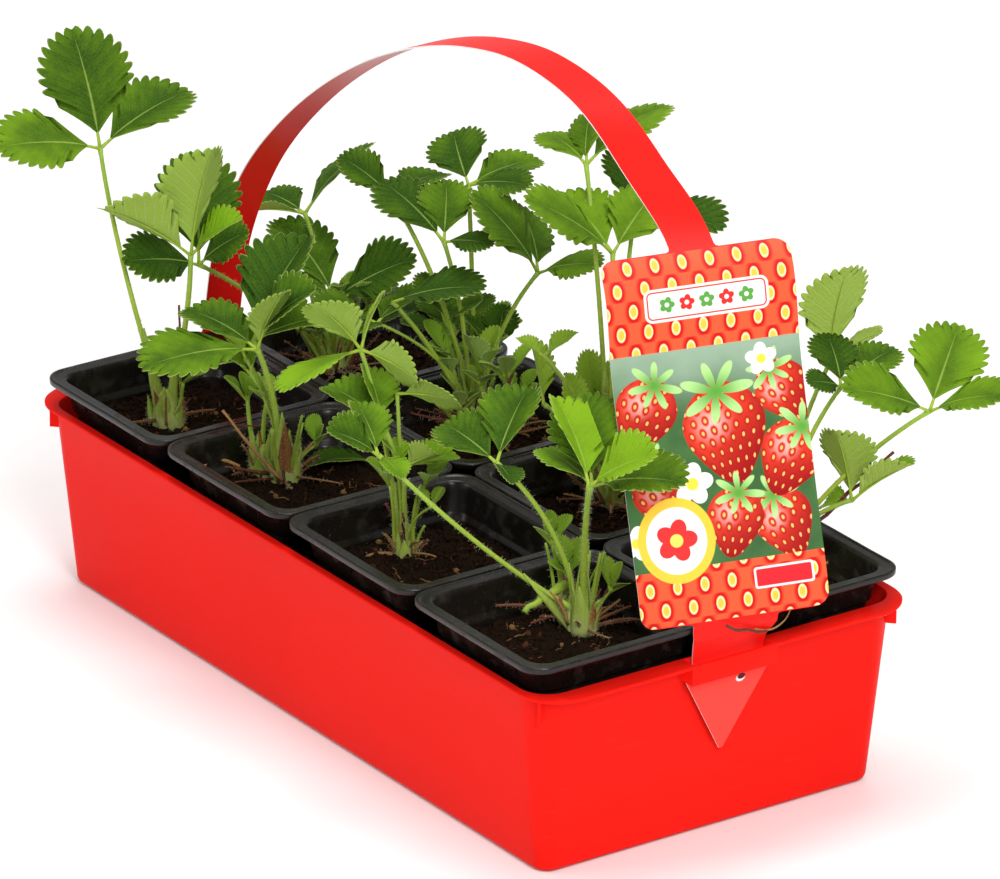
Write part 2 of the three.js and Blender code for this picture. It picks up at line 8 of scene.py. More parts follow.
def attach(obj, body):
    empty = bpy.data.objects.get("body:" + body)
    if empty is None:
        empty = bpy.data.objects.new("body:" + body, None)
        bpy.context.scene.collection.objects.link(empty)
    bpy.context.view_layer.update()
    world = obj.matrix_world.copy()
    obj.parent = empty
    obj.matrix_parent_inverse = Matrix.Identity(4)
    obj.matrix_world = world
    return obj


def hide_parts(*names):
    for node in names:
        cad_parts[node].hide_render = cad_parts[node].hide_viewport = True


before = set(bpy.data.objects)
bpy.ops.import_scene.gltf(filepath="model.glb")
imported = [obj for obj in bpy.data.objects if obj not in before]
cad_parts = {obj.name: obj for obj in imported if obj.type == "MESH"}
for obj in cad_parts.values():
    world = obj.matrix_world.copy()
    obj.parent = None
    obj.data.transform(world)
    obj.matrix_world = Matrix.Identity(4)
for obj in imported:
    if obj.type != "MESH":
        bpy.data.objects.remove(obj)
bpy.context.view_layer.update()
mm = 0.001    # sizes are in millimetres, as in the part's source, until a mesh is made
seeds = {"soil": 300, "crumbs": 40, "plants": 7000, "hairs": 90, "fallen": 52}


# A batch gathers points, faces and values at the points, and makes them one piece.
class Batch:
    def __init__(self):
        self.points = []
        self.faces = []
        self.slots = []
        self.data = {}

    def add(self, points, faces, slot=0, **data):
        start = len(self.points)
        self.points.extend(points)
        self.faces.extend(tuple(start + i for i in face) for face in faces)
        self.slots.extend([slot] * len(faces))
        for name in {**self.data, **data}:
            values = self.data.setdefault(name, [0.0] * start)
            given = data.get(name, 0.0)
            values.extend(given if isinstance(given, list) else [given] * len(points))

    def make(self, name, materials, smooth=True):
        mesh = bpy.data.meshes.new(name)
        mesh.from_pydata([(p[0] * mm, p[1] * mm, p[2] * mm) for p in self.points], [], self.faces)
        for material in materials:
            mesh.materials.append(material)
        mesh.polygons.foreach_set("material_index", self.slots)
        mesh.polygons.foreach_set("use_smooth", [smooth] * len(self.faces))
        for key, values in self.data.items():
            mesh.attributes.new(key, "FLOAT", "POINT").data.foreach_set("value", values)
        mesh.update()
        return link(name, mesh)


def link(name, data):
    thing = bpy.data.objects.new(name, data)
    bpy.context.scene.collection.objects.link(thing)
    return thing


def circle(count):
    return [2 * math.pi * j / count for j in range(count)]


def raised(z):
    return Vector((0, 0, z))


def outward(angle):
    return Vector((math.cos(angle), math.sin(angle), 0))


# A rectangle with round corners, at one height, with points along its sides too.
def roundedRing(halfX, halfY, radius, z, perCorner, perSide):
    arcs = []
    for corner in range(4):
        signX = 1 if corner in (0, 3) else -1
        signY = 1 if corner < 2 else -1
        angles = [(corner + i / perCorner) * math.pi / 2 for i in range(perCorner + 1)]
        arcs.append([Vector((signX * (halfX - radius) + radius * math.cos(angle),
                             signY * (halfY - radius) + radius * math.sin(angle), z))
                     for angle in angles])
    ring = []
    for arc, after in zip(arcs, arcs[1:] + arcs[:1]):
        ring += arc
        ring += [arc[-1].lerp(after[0], k / perSide) for k in range(1, perSide)]
    return ring


# Rings of equal counts, one above the other, become a wall, a closed solid or a loop.
def stack(batch, rings, looped=False, capped=False, slot=0, **data):
    count, faces = len(rings[0]), []
    for k in range(len(rings) if looped else len(rings) - 1):
        here, after = k * count, ((k + 1) % len(rings)) * count
        for j in range(count):
            i = (j + 1) % count
            faces.append((here + j, here + i, after + i, after + j))
    if capped:
        last = (len(rings) - 1) * count
        faces.append(tuple(range(count - 1, -1, -1)))
        faces.append(tuple(range(last, last + count)))
    batch.add([p for ring in rings for p in ring], faces, slot, **data)


# A round or flattened rod along a path; its share runs from 0 at the start to 1 at the end.
def tube(batch, path, radii, sides=8, slot=0, flat=1.0, side=None, **data):
    rings = []
    for k, point in enumerate(path):
        along = (path[min(k + 1, len(path) - 1)] - path[max(k - 1, 0)]).normalized()
        if side is None:
            side = Vector((1, 0, 0)) if abs(along.x) < 0.8 else Vector((0, 1, 0))
        side = (side - along * side.dot(along)).normalized()
        up = along.cross(side)
        rings.append([point + side * (radii[k] * math.cos(a)) + up * (radii[k] * flat * math.sin(a))
                      for a in circle(sides)])
    share = [k / (len(path) - 1) for k in range(len(path)) for _ in range(sides)]
    stack(batch, rings, capped=True, slot=slot, share=share, **data)


def bezier(start, bend, end, steps):
    return [start * (1 - t) ** 2 + bend * 2 * t * (1 - t) + end * t * t
            for t in (k / steps for k in range(steps + 1))]


# A smooth curve through points that stand at uneven distances.
def centripetal(points, perSpan):
    ends = [points[0] * 2 - points[1], *points, points[-1] * 2 - points[-2]]
    path = []
    for i in range(len(points) - 1):
        a, b, c, d = ends[i:i + 4]
        ta, tb, tc = (max((q - p).length ** 0.5, 1e-4) for p, q in ((a, b), (b, c), (c, d)))
        first = ((b - a) / ta - (c - a) / (ta + tb) + (c - b) / tb) * tb
        second = ((c - b) / tb - (d - b) / (tb + tc) + (d - c) / tc) * tb
        for k in range(perSpan):
            t = k / perSpan
            path.append(b + first * t + (c - b) * (3 * t * t - 2 * t ** 3)
                        + first * (t ** 3 - 2 * t * t) + second * (t ** 3 - t * t))
    return [*path, points[-1]]


def boxAt(name, size, place, turn=0.0):
    spin = Matrix.Rotation(turn, 3, "Z")
    corners = [Vector([sign * length / 2 for sign, length in zip((x, y, z), size)])
               for x in (-1, 1) for y in (-1, 1) for z in (-1, 1)]
    batch = Batch()
    batch.add([spin @ corner + Vector(place) for corner in corners],
              [(0, 1, 3, 2), (4, 6, 7, 5), (0, 4, 5, 1), (2, 3, 7, 6), (0, 2, 6, 4), (1, 5, 7, 3)])
    return batch.make(name, [], smooth=False)


# The modifiers' result becomes the piece's own mesh.
def settle(piece):
    graph = bpy.context.evaluated_depsgraph_get()
    mesh = bpy.data.meshes.new_from_object(piece.evaluated_get(graph))
    piece.modifiers.clear()
    piece.data = mesh


def modify(piece, kind, **values):
    modifier = piece.modifiers.new(kind, kind)
    for key, value in values.items():
        setattr(modifier, key, value)
    settle(piece)


def joinSolids(piece, others, operation):
    for other in others:
        modify(piece, "BOOLEAN", object=other, operation=operation, solver="EXACT")
        bpy.data.objects.remove(other)


def smoothByAngle(piece, degrees):
    piece.data.polygons.foreach_set("use_smooth", [True] * len(piece.data.polygons))
    piece.data.set_sharp_from_angle(angle=math.radians(degrees))


def hand(piece, node):
    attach(piece, "root")
    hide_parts(node)


# A term is a socket that takes part in sums; each sign adds a Math node.
class Term:
    def __init__(self, tree, socket):
        self.tree = tree
        self.socket = socket

    def __add__(self, other):
        return self.tree.math("ADD", self, other)

    def __radd__(self, other):
        return self.tree.math("ADD", other, self)

    def __sub__(self, other):
        return self.tree.math("SUBTRACT", self, other)

    def __rsub__(self, other):
        return self.tree.math("SUBTRACT", other, self)

    def __mul__(self, other):
        return self.tree.math("MULTIPLY", self, other)

    def __rmul__(self, other):
        return self.tree.math("MULTIPLY", other, self)

    def __truediv__(self, other):
        return self.tree.math("DIVIDE", self, other)

    def __pow__(self, other):
        return self.tree.math("POWER", self, other)


class Tree:
    def __init__(self, name, specular):
        self.material = bpy.data.materials.new(name)
        self.material.use_nodes = True
        self.nodes = self.material.node_tree.nodes
        self.nodes.clear()
        output = self.nodes.new("ShaderNodeOutputMaterial")
        self.shader = self.nodes.new("ShaderNodeBsdfPrincipled")
        self.material.node_tree.links.new(self.shader.outputs[0], output.inputs[0])
        self.shader.inputs["Specular IOR Level"].default_value = specular

    def node(self, kind, settings, inputs, output=0):
        node = self.nodes.new(kind)
        for key, value in settings.items():
            setattr(node, key, value)
        for key, value in inputs.items():
            self.feed(node.inputs[key], value)
        return Term(self, node.outputs[output])

    def feed(self, socket, value):
        if isinstance(value, Term):
            self.material.node_tree.links.new(value.socket, socket)
        elif isinstance(value, tuple) and socket.type == "RGBA":
            socket.default_value = (*value, 1)
        else:
            socket.default_value = value

    def math(self, operation, *values):
        return self.node("ShaderNodeMath", {"operation": operation}, dict(enumerate(values)))

    def attribute(self, name):
        return self.node("ShaderNodeAttribute", {"attribute_name": name}, {}, "Fac")

    def place(self, stretch=(1, 1, 1)):
        coords = self.node("ShaderNodeTexCoord", {}, {}, "Object")
        return self.node("ShaderNodeVectorMath", {"operation": "MULTIPLY"}, {0: coords, 1: stretch})

    def noise(self, scale, detail, vector=None, roughness=0.5):
        return self.node("ShaderNodeTexNoise", {}, {
            "Vector": vector or self.place(), "Scale": scale, "Detail": detail,
            "Roughness": roughness}, "Fac")

    def cells(self, scale, feature):
        return self.node("ShaderNodeTexVoronoi", {"feature": feature},
                         {"Vector": self.place(), "Scale": scale}, "Distance")

    def ease(self, value, low, high):
        return self.node("ShaderNodeMapRange", {"interpolation_type": "SMOOTHSTEP"},
                         {"Value": value, "From Min": low, "From Max": high})

    def mix(self, factor, first, second):
        inputs = {0: factor, 6: first, 7: second}
        return self.node("ShaderNodeMix", {"data_type": "RGBA"}, inputs, 2)

    def bump(self, height, distance, strength):
        made = self.node("ShaderNodeBump", {}, {
            "Strength": strength, "Distance": distance, "Height": height})
        self.feed(self.shader.inputs["Normal"], made)

    def finish(self, color, roughness):
        self.feed(self.shader.inputs["Base Color"], color)
        self.feed(self.shader.inputs["Roughness"], roughness)
        return self.material


# The tray is moulded, with a turned-out lip, corner ribs and, at each end, a slot behind a bridge.
tray = {
    "length": 358.4, "width": 176, "height": 80,    # its walls at the rim
    "endTaper": 7.3, "sideTaper": 8,                # how far the walls draw in at the foot
    "wall": 1.5, "floor": 2, "cornerRadius": 13.5, "footRadius": 7,
    "lipEnd": 8.4, "lipSide": 2.9, "lipThickness": 1.5, "lipCornerRadius": 19,
    "ribHeight": 10, "ribThickness": 1.4, "ribReach": 3,
    "slotHalf": 19, "bridge": 1.5, "bridgeBottom": 71.8,
    "deep": (0.76, 0.008, 0.004), "bright": (0.86, 0.014, 0.008),
    "scuff": (1.0, 0.12, 0.09), "speck": (0.4, 0.01, 0.01), "specular": 0.035, "roughness": 0.36,
}


def trayRed():
    tree = Tree("trayRed", tray["specular"])
    cloud = tree.noise(9, 4)
    speck = tree.ease(tree.noise(420, 2), 0.68, 0.74)
    scuff = tree.ease(tree.noise(60, 5, tree.place((1, 1, 9))), 0.6, 0.75)
    color = tree.mix(cloud, tray["deep"], tray["bright"])
    color = tree.mix(scuff * 0.06, color, tray["scuff"])
    color = tree.mix(speck * 0.12, color, tray["speck"])
    tree.bump(tree.noise(14, 2) + tree.noise(900, 2) * 0.05, 0.0006, 0.6)
    return tree.finish(color, tray["roughness"] + cloud * 0.1 + scuff * 0.12)


def makeTray():
    length, width, height = tray["length"] / 2, tray["width"] / 2, tray["height"]

    def ring(grow, z, radius=None, side=None):
        low = 1 - z / height
        if radius is None:
            radius = tray["footRadius"] + (tray["cornerRadius"] - tray["footRadius"]) * z / height
            radius = max(radius + min(grow, 0), 2)
        return roundedRing(length - tray["endTaper"] * low + grow,
                           width - tray["sideTaper"] * low + (grow if side is None else side),
                           radius, z, 16, 6)

    end, side, corner = tray["lipEnd"], tray["lipSide"], tray["lipCornerRadius"]
    under = height - tray["lipThickness"]
    wall, base = tray["wall"], tray["floor"]
    rings = [ring(-2.6, 0), ring(-1.4, 0.25), ring(-0.5, 0.9), ring(0, 2.2),
             ring(0, 26), ring(0, 52), ring(0, under - 1.0), ring(0.25, under - 0.3),
             ring(0.9, under, tray["cornerRadius"] + 1, 0.9),
             ring(end - 0.4, under, corner, side - 0.4), ring(end, under + 0.4, corner, side),
             ring(end, height - 0.4, corner, side), ring(end - 0.4, height, corner, side - 0.4),
             ring(0.3, height, tray["cornerRadius"], 0.3), ring(-wall + 0.5, height - 0.15),
             ring(-wall, height - 0.8), ring(-wall, 40), ring(-wall, base + 2.4),
             ring(-wall - 0.8, base + 0.7), ring(-wall - 2.4, base)]
    batch = Batch()
    stack(batch, rings, capped=True)
    piece = batch.make("tray_shell", [])

    sunk, gap, holeHeight = 0.8, 0.2, 20
    block = end + sunk
    rise = height - 0.3 - tray["bridgeBottom"]
    depth = end - tray["bridge"] - gap
    added, cut = [], []
    for sign in (-1, 1):
        added.append(boxAt("bridge", (block, 2 * (tray["slotHalf"] + tray["bridge"]), rise),
                           (sign * (length + end - block / 2 - 0.02), 0,
                            tray["bridgeBottom"] + rise / 2)))
        cut.append(boxAt("slotHole", (depth, 2 * tray["slotHalf"], holeHeight),
                         (sign * (length + gap + depth / 2), 0, tray["bridgeBottom"] + 8)))
    rooted = 1.2
    out = tray["cornerRadius"] + (tray["ribReach"] - rooted) / 2
    for signX, signY in ((1, 1), (-1, 1), (-1, -1), (1, -1)):
        added.append(boxAt("rib", (tray["ribReach"] + rooted, tray["ribThickness"],
                                   tray["ribHeight"] + 0.4), (
            signX * (length - tray["cornerRadius"] + out * math.sqrt(0.5)),
            signY * (width - tray["cornerRadius"] + out * math.sqrt(0.5)),
            under - tray["ribHeight"] / 2 + 0.2), signX * signY * math.pi / 4))
    joinSolids(piece, added, "UNION")
    joinSolids(piece, cut, "DIFFERENCE")
    modify(piece, "BEVEL", width=0.25 * mm, segments=2, limit_method="ANGLE",
           angle_limit=math.radians(50))
    smoothByAngle(piece, 40)
    piece.data.materials.clear()
    piece.data.materials.append(trayRed())
    hand(piece, "tray")


# The pots are thin sheet, square, with a collar that widens above a step and a rim with a skirt.
pot = {
    "size": 88.8, "height": 91, "wall": 0.8, "cornerRadius": 10, "drainRadius": 5,
    "pitchX": 90, "pitchY": 89.4, "shiftX": 2, "shiftY": -1.8,    # two rows of four in the tray
    "nudges": [(0.5, 0), (0.2, 0.1), (-0.2, 0), (-0.4, -0.4), (0, 0.2), (0.2, 0), (-0.2, 0.2),
               (0, 0.1)],
    "baseHalf": 30, "bodyHalf": 36.2, "stepHeight": 77, "collarHalf": 37.6,
    "lipWidth": 6, "skirtDrop": 2.6, "sway": 0.35,
    "dark": (0.004, 0.003, 0.0025), "bright": (0.010, 0.0075, 0.006),
    "dust": (0.045, 0.034, 0.026), "crumb": (0.035, 0.02, 0.012),
    "specular": 0.36, "roughness": 0.2,
}
seat = tray["floor"] + 0.2


def potBlack():
    tree = Tree("potBlack", pot["specular"])
    cloud = tree.noise(30, 4)
    dust = tree.ease(tree.noise(160, 6), 0.5, 0.72)
    crumb = tree.ease(tree.noise(700, 3), 0.66, 0.72) * tree.ease(tree.noise(40, 2), 0.45, 0.6)
    color = tree.mix(cloud, pot["dark"], pot["bright"])
    color = tree.mix(dust * 0.3, color, pot["dust"])
    color = tree.mix(crumb * 0.8, color, pot["crumb"])
    tree.bump(tree.noise(55, 3) + crumb * 0.8, 0.0005, 0.5)
    return tree.finish(color, pot["roughness"] + cloud * 0.14 + dust * 0.3)


def potPlaces():
    places = []
    for index, (moveX, moveY) in enumerate(pot["nudges"]):
        column, row = index % 4 - 1.5, index // 4 - 0.5
        places.append((pot["shiftX"] + column * pot["pitchX"] + moveX,
                       pot["shiftY"] + row * pot["pitchY"] + moveY))
    return places


def makePot(index, place, material):
    half = pot["size"] / 2
    opening = half - pot["lipWidth"]
    top, wall, radius, drain = pot["height"], pot["wall"], pot["cornerRadius"], pot["drainRadius"]
    step, neck, skirt = pot["stepHeight"], pot["stepHeight"] - 0.8, pot["skirtDrop"]
    base, body, collar = pot["baseHalf"], pot["bodyHalf"], pot["collarHalf"]
    # half width, height and corner radius: up the outside, over the rim and down the inside
    profile = [
        (drain, 0, drain - 0.01), (base - 2, 0, 6), (base - 0.6, 0.4, 7.4), (base, 1.4, 8),
        (base + 3, neck * 0.5, 8.5), (body - 0.2, neck - 0.9, radius - 1), (body, neck, radius - 1),
        (collar - 0.4, step + 0.2, radius - 0.5), (collar, step + 0.8, radius - 0.5),
        (opening + 0.3, top - 2.6, radius - 0.5), (opening + 0.9, top - 1.9, radius - 0.5),
        (opening + 1.8, top - wall - 0.7, radius - 0.3), (half - 1.6, top - wall - 0.6, radius),
        (half - 0.9, top - wall - 1.0, radius), (half - 0.75, top - skirt, radius),
        (half - 0.3, top - skirt - 0.1, radius), (half - 0.05, top - skirt + 0.2, radius),
        (half, top - 0.6, radius), (half - 0.12, top - 0.2, radius), (half - 0.4, top, radius),
        (half - 1.0, top, radius), (half - 1.25, top - 0.12, radius),
        (half - 1.6, top - 0.42, radius), (half - 2.2, top - 0.5, radius),
        (opening + 1.5, top - 0.45, radius - 1.4), (opening + 0.75, top - 0.6, radius - 1.8),
        (opening + 0.3, top - 1.1, radius - 2),
        (opening, top - 2, radius - 2), (opening - 0.35, top - 3.6, radius - 2),
        (collar - wall, step + 1.4, radius - 2), (collar - wall - 0.3, step + 0.6, radius - 2),
        (body - wall - 0.2, neck + 0.1, radius - 2), (body - wall - 0.5, neck - 0.8, radius - 2),
        (base - wall, 3, 7), (base - wall - 1, 2, 6.6), (drain, wall + 0.4, drain - 0.01),
    ]
    rings = []
    for width, z, cornerRadius in profile:
        ring = roundedRing(width, width, cornerRadius, z, 9, 5)
        for p in ring:
            sway = pot["sway"] * noise.noise(Vector((p.x * 0.03 + index, p.y * 0.03, index * 2.7)))
            p.x += place[0] + sway * (z / top)
            p.y += place[1] - sway * (z / top)
            p.z += seat
        rings.append(ring)
    batch = Batch()
    stack(batch, rings, looped=True)
    piece = batch.make(f"pot_{index + 1}_shell", [material])
    smoothByAngle(piece, 50)
    hand(piece, f"pot_{index + 1}")


# The soil is a rough bed with fibres lying on it, and crumbs that Geometry Nodes scatter.
soil = {
    "top": 74, "foot": 60, "clearance": 0.75, "rounds": 34,
    "fibres": 64, "fibreLength": (3, 11), "fibreThickness": (0.12, 0.34),
    "fibreTones": [0.15, 0.3, 0.6, 1.0],
    "crumbs": {"density": 190000, "small": 0.0006, "large": 0.0034, "tilt": 3.0, "facing": 0.5},
    "dark": (0.0022, 0.0013, 0.0010), "bright": (0.050, 0.026, 0.014),
    "damp": (0.006, 0.004, 0.003), "speck": (0.05, 0.022, 0.011),
    "darkFibre": (0.09, 0.035, 0.016), "paleFibre": (0.30, 0.17, 0.065),
    "specular": 0.03, "roughness": 0.98,
}
soilLevel = seat + soil["top"]


def peatBrown():
    tree = Tree("peatBrown", soil["specular"])
    tone = tree.attribute("tone")
    grain = tree.noise(420, 6, roughness=0.7)
    clump = tree.noise(90, 4)
    fibre = tree.ease(tree.noise(700, 2, tree.place((1, 0.12, 0.4))), 0.62, 0.7)
    color = tree.mix(grain, soil["dark"], soil["bright"])
    color = tree.mix(clump * 0.75, color, soil["damp"])
    color = tree.mix(fibre * 0.45, color, soil["speck"])
    color = tree.mix(tree.ease(tone, 0.0, 0.6), color, soil["darkFibre"])
    color = tree.mix(tree.ease(tone, 0.6, 1.0) * 0.8, color, soil["paleFibre"])
    tree.bump(grain + clump * 0.6 + fibre * 0.4, 0.0022, 1.0)
    return tree.finish(color, soil["roughness"] - grain * 0.2)


def soilHeight(x, y, index):
    place = Vector((x, y, index * 11.0))
    broad = noise.fractal(place * 0.045, 0.9, 2.0, 3) * 2.2
    rough = noise.fractal(place * 0.22, 0.8, 2.1, 4) * 1.3
    clod = max(0.0, noise.noise(place * 0.42)) ** 1.5 * 2.6
    return soil["top"] + broad + rough + clod - 0.4


def makeSoil(index, place, material):
    half = pot["bodyHalf"] - pot["wall"] - soil["clearance"]
    inner = half - 1
    draw = random.Random(seeds["soil"] + index)
    batch = Batch()
    rings = [[Vector((p.x * 0.93, p.y * 0.93, soil["foot"]))
              for p in roundedRing(half, half, 8, 0, 12, 20)]]
    for k in range(soil["rounds"]):
        share = 1 - k / soil["rounds"]
        rings.append([Vector((p.x, p.y, soilHeight(p.x, p.y, index)))
                      for p in roundedRing(half * share, half * share, 8 * share, 0, 12, 20)])
    for p in (p for ring in rings for p in ring):
        p.x += place[0]
        p.y += place[1]
        p.z += seat
    stack(batch, rings, capped=True)
    for _ in range(soil["fibres"]):
        angle, reach = draw.uniform(0, 2 * math.pi), math.sqrt(draw.random()) * (half - 5)
        x, y = reach * math.cos(angle), reach * math.sin(angle)
        turn, length = draw.uniform(0, 2 * math.pi), draw.uniform(*soil["fibreLength"])
        path = []
        for k in range(5):
            along = (k / 4 - 0.5) * length
            bow = draw.uniform(-0.25, 0.25) * length * (1 - abs(k - 2) / 2)
            px = max(-inner, min(inner, x + along * math.cos(turn) - bow * math.sin(turn)))
            py = max(-inner, min(inner, y + along * math.sin(turn) + bow * math.cos(turn)))
            path.append(Vector((place[0] + px, place[1] + py, seat + soilHeight(px, py, index)
                                + draw.uniform(0.1, 0.9))))
        thick = draw.uniform(*soil["fibreThickness"])
        tube(batch, path, [thick] * 5, 4, tone=draw.choice(soil["fibreTones"]))
    piece = batch.make(f"soil_{index + 1}_bed", [material])
    hand(piece, f"soil_{index + 1}")
    crumb = unitShape("crumb", 5, ((-0.35, 0.25), (0.0, 0.5), (0.35, 0.3)), draw)
    crumbs = scatter(piece, f"soil_{index + 1}_crumbs", shape=crumb, material=material,
                     seed=seeds["crumbs"] + index, **soil["crumbs"])
    bpy.data.objects.remove(crumb)
    hand(crumbs, f"soil_{index + 1}")


# A shape to scatter is modelled at the size of a metre, and each copy has its own scale.
def unitShape(name, sides, outline, uneven=None):
    metre = 1000
    rings = [[Vector((r * math.cos(a) * (uneven.uniform(0.8, 1.15) if uneven else 1),
                      r * math.sin(a), z)) * metre for a in circle(sides)] for z, r in outline]
    batch = Batch()
    stack(batch, rings, capped=True)
    return batch.make(name, [])


# One tree of Geometry Nodes strews a shape over the faces whose normal rises above "facing".
def scatterTree():
    tree = bpy.data.node_groups.new("scatter", "GeometryNodeTree")
    face = tree.interface
    face.new_socket("Geometry", in_out="INPUT", socket_type="NodeSocketGeometry")
    for name, kind in (("shape", "Object"), ("material", "Material"), ("density", "Float"),
                       ("small", "Float"), ("large", "Float"), ("tilt", "Float"), ("seed", "Int"),
                       ("facing", "Float")):
        face.new_socket(name, in_out="INPUT", socket_type="NodeSocket" + kind)
    face.new_socket("Geometry", in_out="OUTPUT", socket_type="NodeSocketGeometry")

    def add(kind, inputs, **settings):
        node = tree.nodes.new(kind)
        for key, value in settings.items():
            setattr(node, key, value)
        for key, value in inputs.items():
            if hasattr(value, "is_output"):
                tree.links.new(value, node.inputs[key])
            else:
                node.inputs[key].default_value = value
        return node.outputs

    given = tree.nodes.new("NodeGroupInput").outputs
    normal = add("GeometryNodeInputNormal", {})[0]
    height = add("ShaderNodeSeparateXYZ", {"Vector": normal})["Z"]
    wanted = add("FunctionNodeCompare", {"A": height, "B": given["facing"]},
                 operation="GREATER_THAN", data_type="FLOAT")[0]
    points = add("GeometryNodeDistributePointsOnFaces", {
        "Mesh": given["Geometry"], "Selection": wanted, "Density": given["density"],
        "Seed": given["seed"]})
    tilt, wholeTurn = given["tilt"], 6.28
    back = add("ShaderNodeMath", {0: tilt, 1: -1}, operation="MULTIPLY")[0]
    low = add("ShaderNodeCombineXYZ", {"X": back, "Y": back})[0]
    high = add("ShaderNodeCombineXYZ", {"X": tilt, "Y": tilt, "Z": wholeTurn})[0]
    spin = add("FunctionNodeRandomValue", {0: low, 1: high, "Seed": given["seed"]},
               data_type="FLOAT_VECTOR")[0]
    size = add("FunctionNodeRandomValue", {2: given["small"], 3: given["large"],
                                           "Seed": given["seed"]}, data_type="FLOAT")[1]
    turned = add("FunctionNodeRotateRotation", {0: points["Rotation"], 1: spin},
                 rotation_space="LOCAL")[0]
    shape = add("GeometryNodeObjectInfo", {"Object": given["shape"]})["Geometry"]
    copies = add("GeometryNodeInstanceOnPoints", {
        "Points": points["Points"], "Instance": shape, "Rotation": turned, "Scale": size})[0]
    real = add("GeometryNodeRealizeInstances", {"Geometry": copies})[0]
    painted = add("GeometryNodeSetMaterial", {"Geometry": real, "Material": given["material"]})[0]
    add("NodeGroupOutput", {0: painted})
    return tree


scatterNodes = scatterTree()


def scatter(base, name, **values):
    piece = link(name, base.data.copy())
    modifier = piece.modifiers.new("scatter", "NODES")
    modifier.node_group = scatterNodes
    values["density"] /= 1
    for item in scatterNodes.interface.items_tree:
        if item.in_out == "INPUT" and item.name in values:
            modifier[item.identifier] = values[item.name]
    settle(piece)
    return piece


# The plants: each has a crown on the soil, leaf stems in sheaths, leaves and dry stalks.
foliage = {
    "leaf": {"dark": (0.016, 0.056, 0.003), "bright": (0.20, 0.38, 0.010),
             "under": (0.29, 0.43, 0.05)},
    "young": {"dark": (0.16, 0.30, 0.02), "bright": (0.30, 0.46, 0.04),
              "under": (0.32, 0.46, 0.10)},
    "net": (0.16, 0.30, 0.03), "vein": (0.26, 0.42, 0.06), "rib": (0.36, 0.50, 0.09),
    "margin": (0.42, 0.50, 0.16), "toothTip": (0.09, 0.030, 0.012),
    "underNet": (0.34, 0.46, 0.12), "underVein": (0.46, 0.60, 0.28), "down": (0.5, 0.6, 0.2),
    "specular": 0.035, "roughness": 0.56, "teethPerSide": 8, "wedge": 0.25,
    "habits": {
        "mature": {"width": 0.78, "fold": 12, "arch": 0.24},
        "folded": {"width": 0.73, "fold": 28, "arch": 0.2},
        "young": {"width": 0.5, "fold": 38, "arch": 0.1},
    },
}
stalkColors = {
    "stem": ((0.20, 0.34, 0.02), (0.42, 0.54, 0.06)), "stemTop": (0.24, 0.42, 0.07),
    "stemRed": (0.34, 0.09, 0.02), "sheath": ((0.17, 0.29, 0.02), (0.46, 0.55, 0.10)),
    "sheathFoot": (0.52, 0.54, 0.22), "sheathBrown": ((0.09, 0.022, 0.008), (0.40, 0.17, 0.05)),
    "deadDark": ((0.035, 0.006, 0.005), (0.20, 0.045, 0.02)),
    "deadPale": ((0.34, 0.13, 0.03), (0.56, 0.36, 0.12)),
    "hair": ((0.55, 0.62, 0.38), (0.80, 0.84, 0.66)),
}


def leafGreen(name, tones):
    tree = Tree(name, foliage["specular"])
    vein, reach, tone = (tree.attribute(key) for key in ("vein", "reach", "tone"))
    upper, along = tree.attribute("upper"), tree.attribute("along")
    wave = tree.math("ABSOLUTE", tree.math("SINE", vein * math.pi))
    lateral = (1 - tree.ease(wave, 0.0, 0.16)) * tree.ease(reach, 0.97, 0.6)
    rib = 1 - tree.ease(reach + along * 0.02, 0.012, 0.05)
    net = tree.cells(620, "DISTANCE_TO_EDGE")
    fine = 1 - tree.ease(net, 0.0, 0.09)
    blotch = tree.noise(55, 4)
    patch = tree.noise(150, 3)
    grain = tree.noise(1300, 2)
    spread = tree.ease(reach, 0.0, 0.9) * 0.16 - 0.08
    lively = tree.ease(tone + spread + (blotch - 0.5) * 0.6 + (patch - 0.5) * 0.3, 0.0, 1.0)
    between = tree.ease(wave, 0.3, 1.0) * tree.ease(reach, 0.05, 0.5) * 0.07
    tip = tree.ease(reach, 0.965, 1.0) * (1 - tree.ease(wave, 0.05, 0.40))
    surface = tree.mix(lively, tones["dark"], tones["bright"])
    for share, color in ((between, tones["bright"]), (fine * 0.14, foliage["net"]),
                         (lateral * (0.10 + 0.14 * tone), foliage["vein"]),
                         (rib * 0.55, foliage["rib"]),
                         (tree.ease(reach, 0.955, 1.0) * 0.5, foliage["margin"]),
                         (tip * 0.65, foliage["toothTip"])):
        surface = tree.mix(share, surface, color)
    below = tree.mix(fine * 0.35 + blotch * 0.3, tones["under"], foliage["underNet"])
    below = tree.mix(tree.math("MAXIMUM", lateral, rib) * 0.6, below, foliage["underVein"])
    color = tree.mix(grain * 0.03, tree.mix(upper, below, surface), foliage["down"])
    height = tree.ease(wave, 0.0, 0.5) * 0.5 - rib * 0.4 + tree.ease(net, 0.0, 0.22) * 0.3
    tree.bump(height + grain * 0.15, 0.0005, 0.5)
    return tree.finish(color, foliage["roughness"] - lateral * 0.05 + blotch * 0.14)


def stemGreen():
    tree = Tree("stemGreen", 0.2)
    tone, share = tree.attribute("tone"), tree.attribute("share")
    streak = tree.noise(1100, 3, tree.place((1, 1, 0.08)))
    blotch = tree.noise(120, 3)
    color = tree.mix(streak, *stalkColors["stem"])
    color = tree.mix(tree.ease(share, 0.6, 1.0) * 0.4, color, stalkColors["stemTop"])
    rusty = tree.ease(tone, 0.45, 1.0) * tree.ease(share + blotch * 0.35, 0.55, 0.1)
    color = tree.mix(rusty, color, stalkColors["stemRed"])
    tree.bump(streak, 0.0004, 0.6)
    return tree.finish(color, 0.46 + blotch * 0.15)


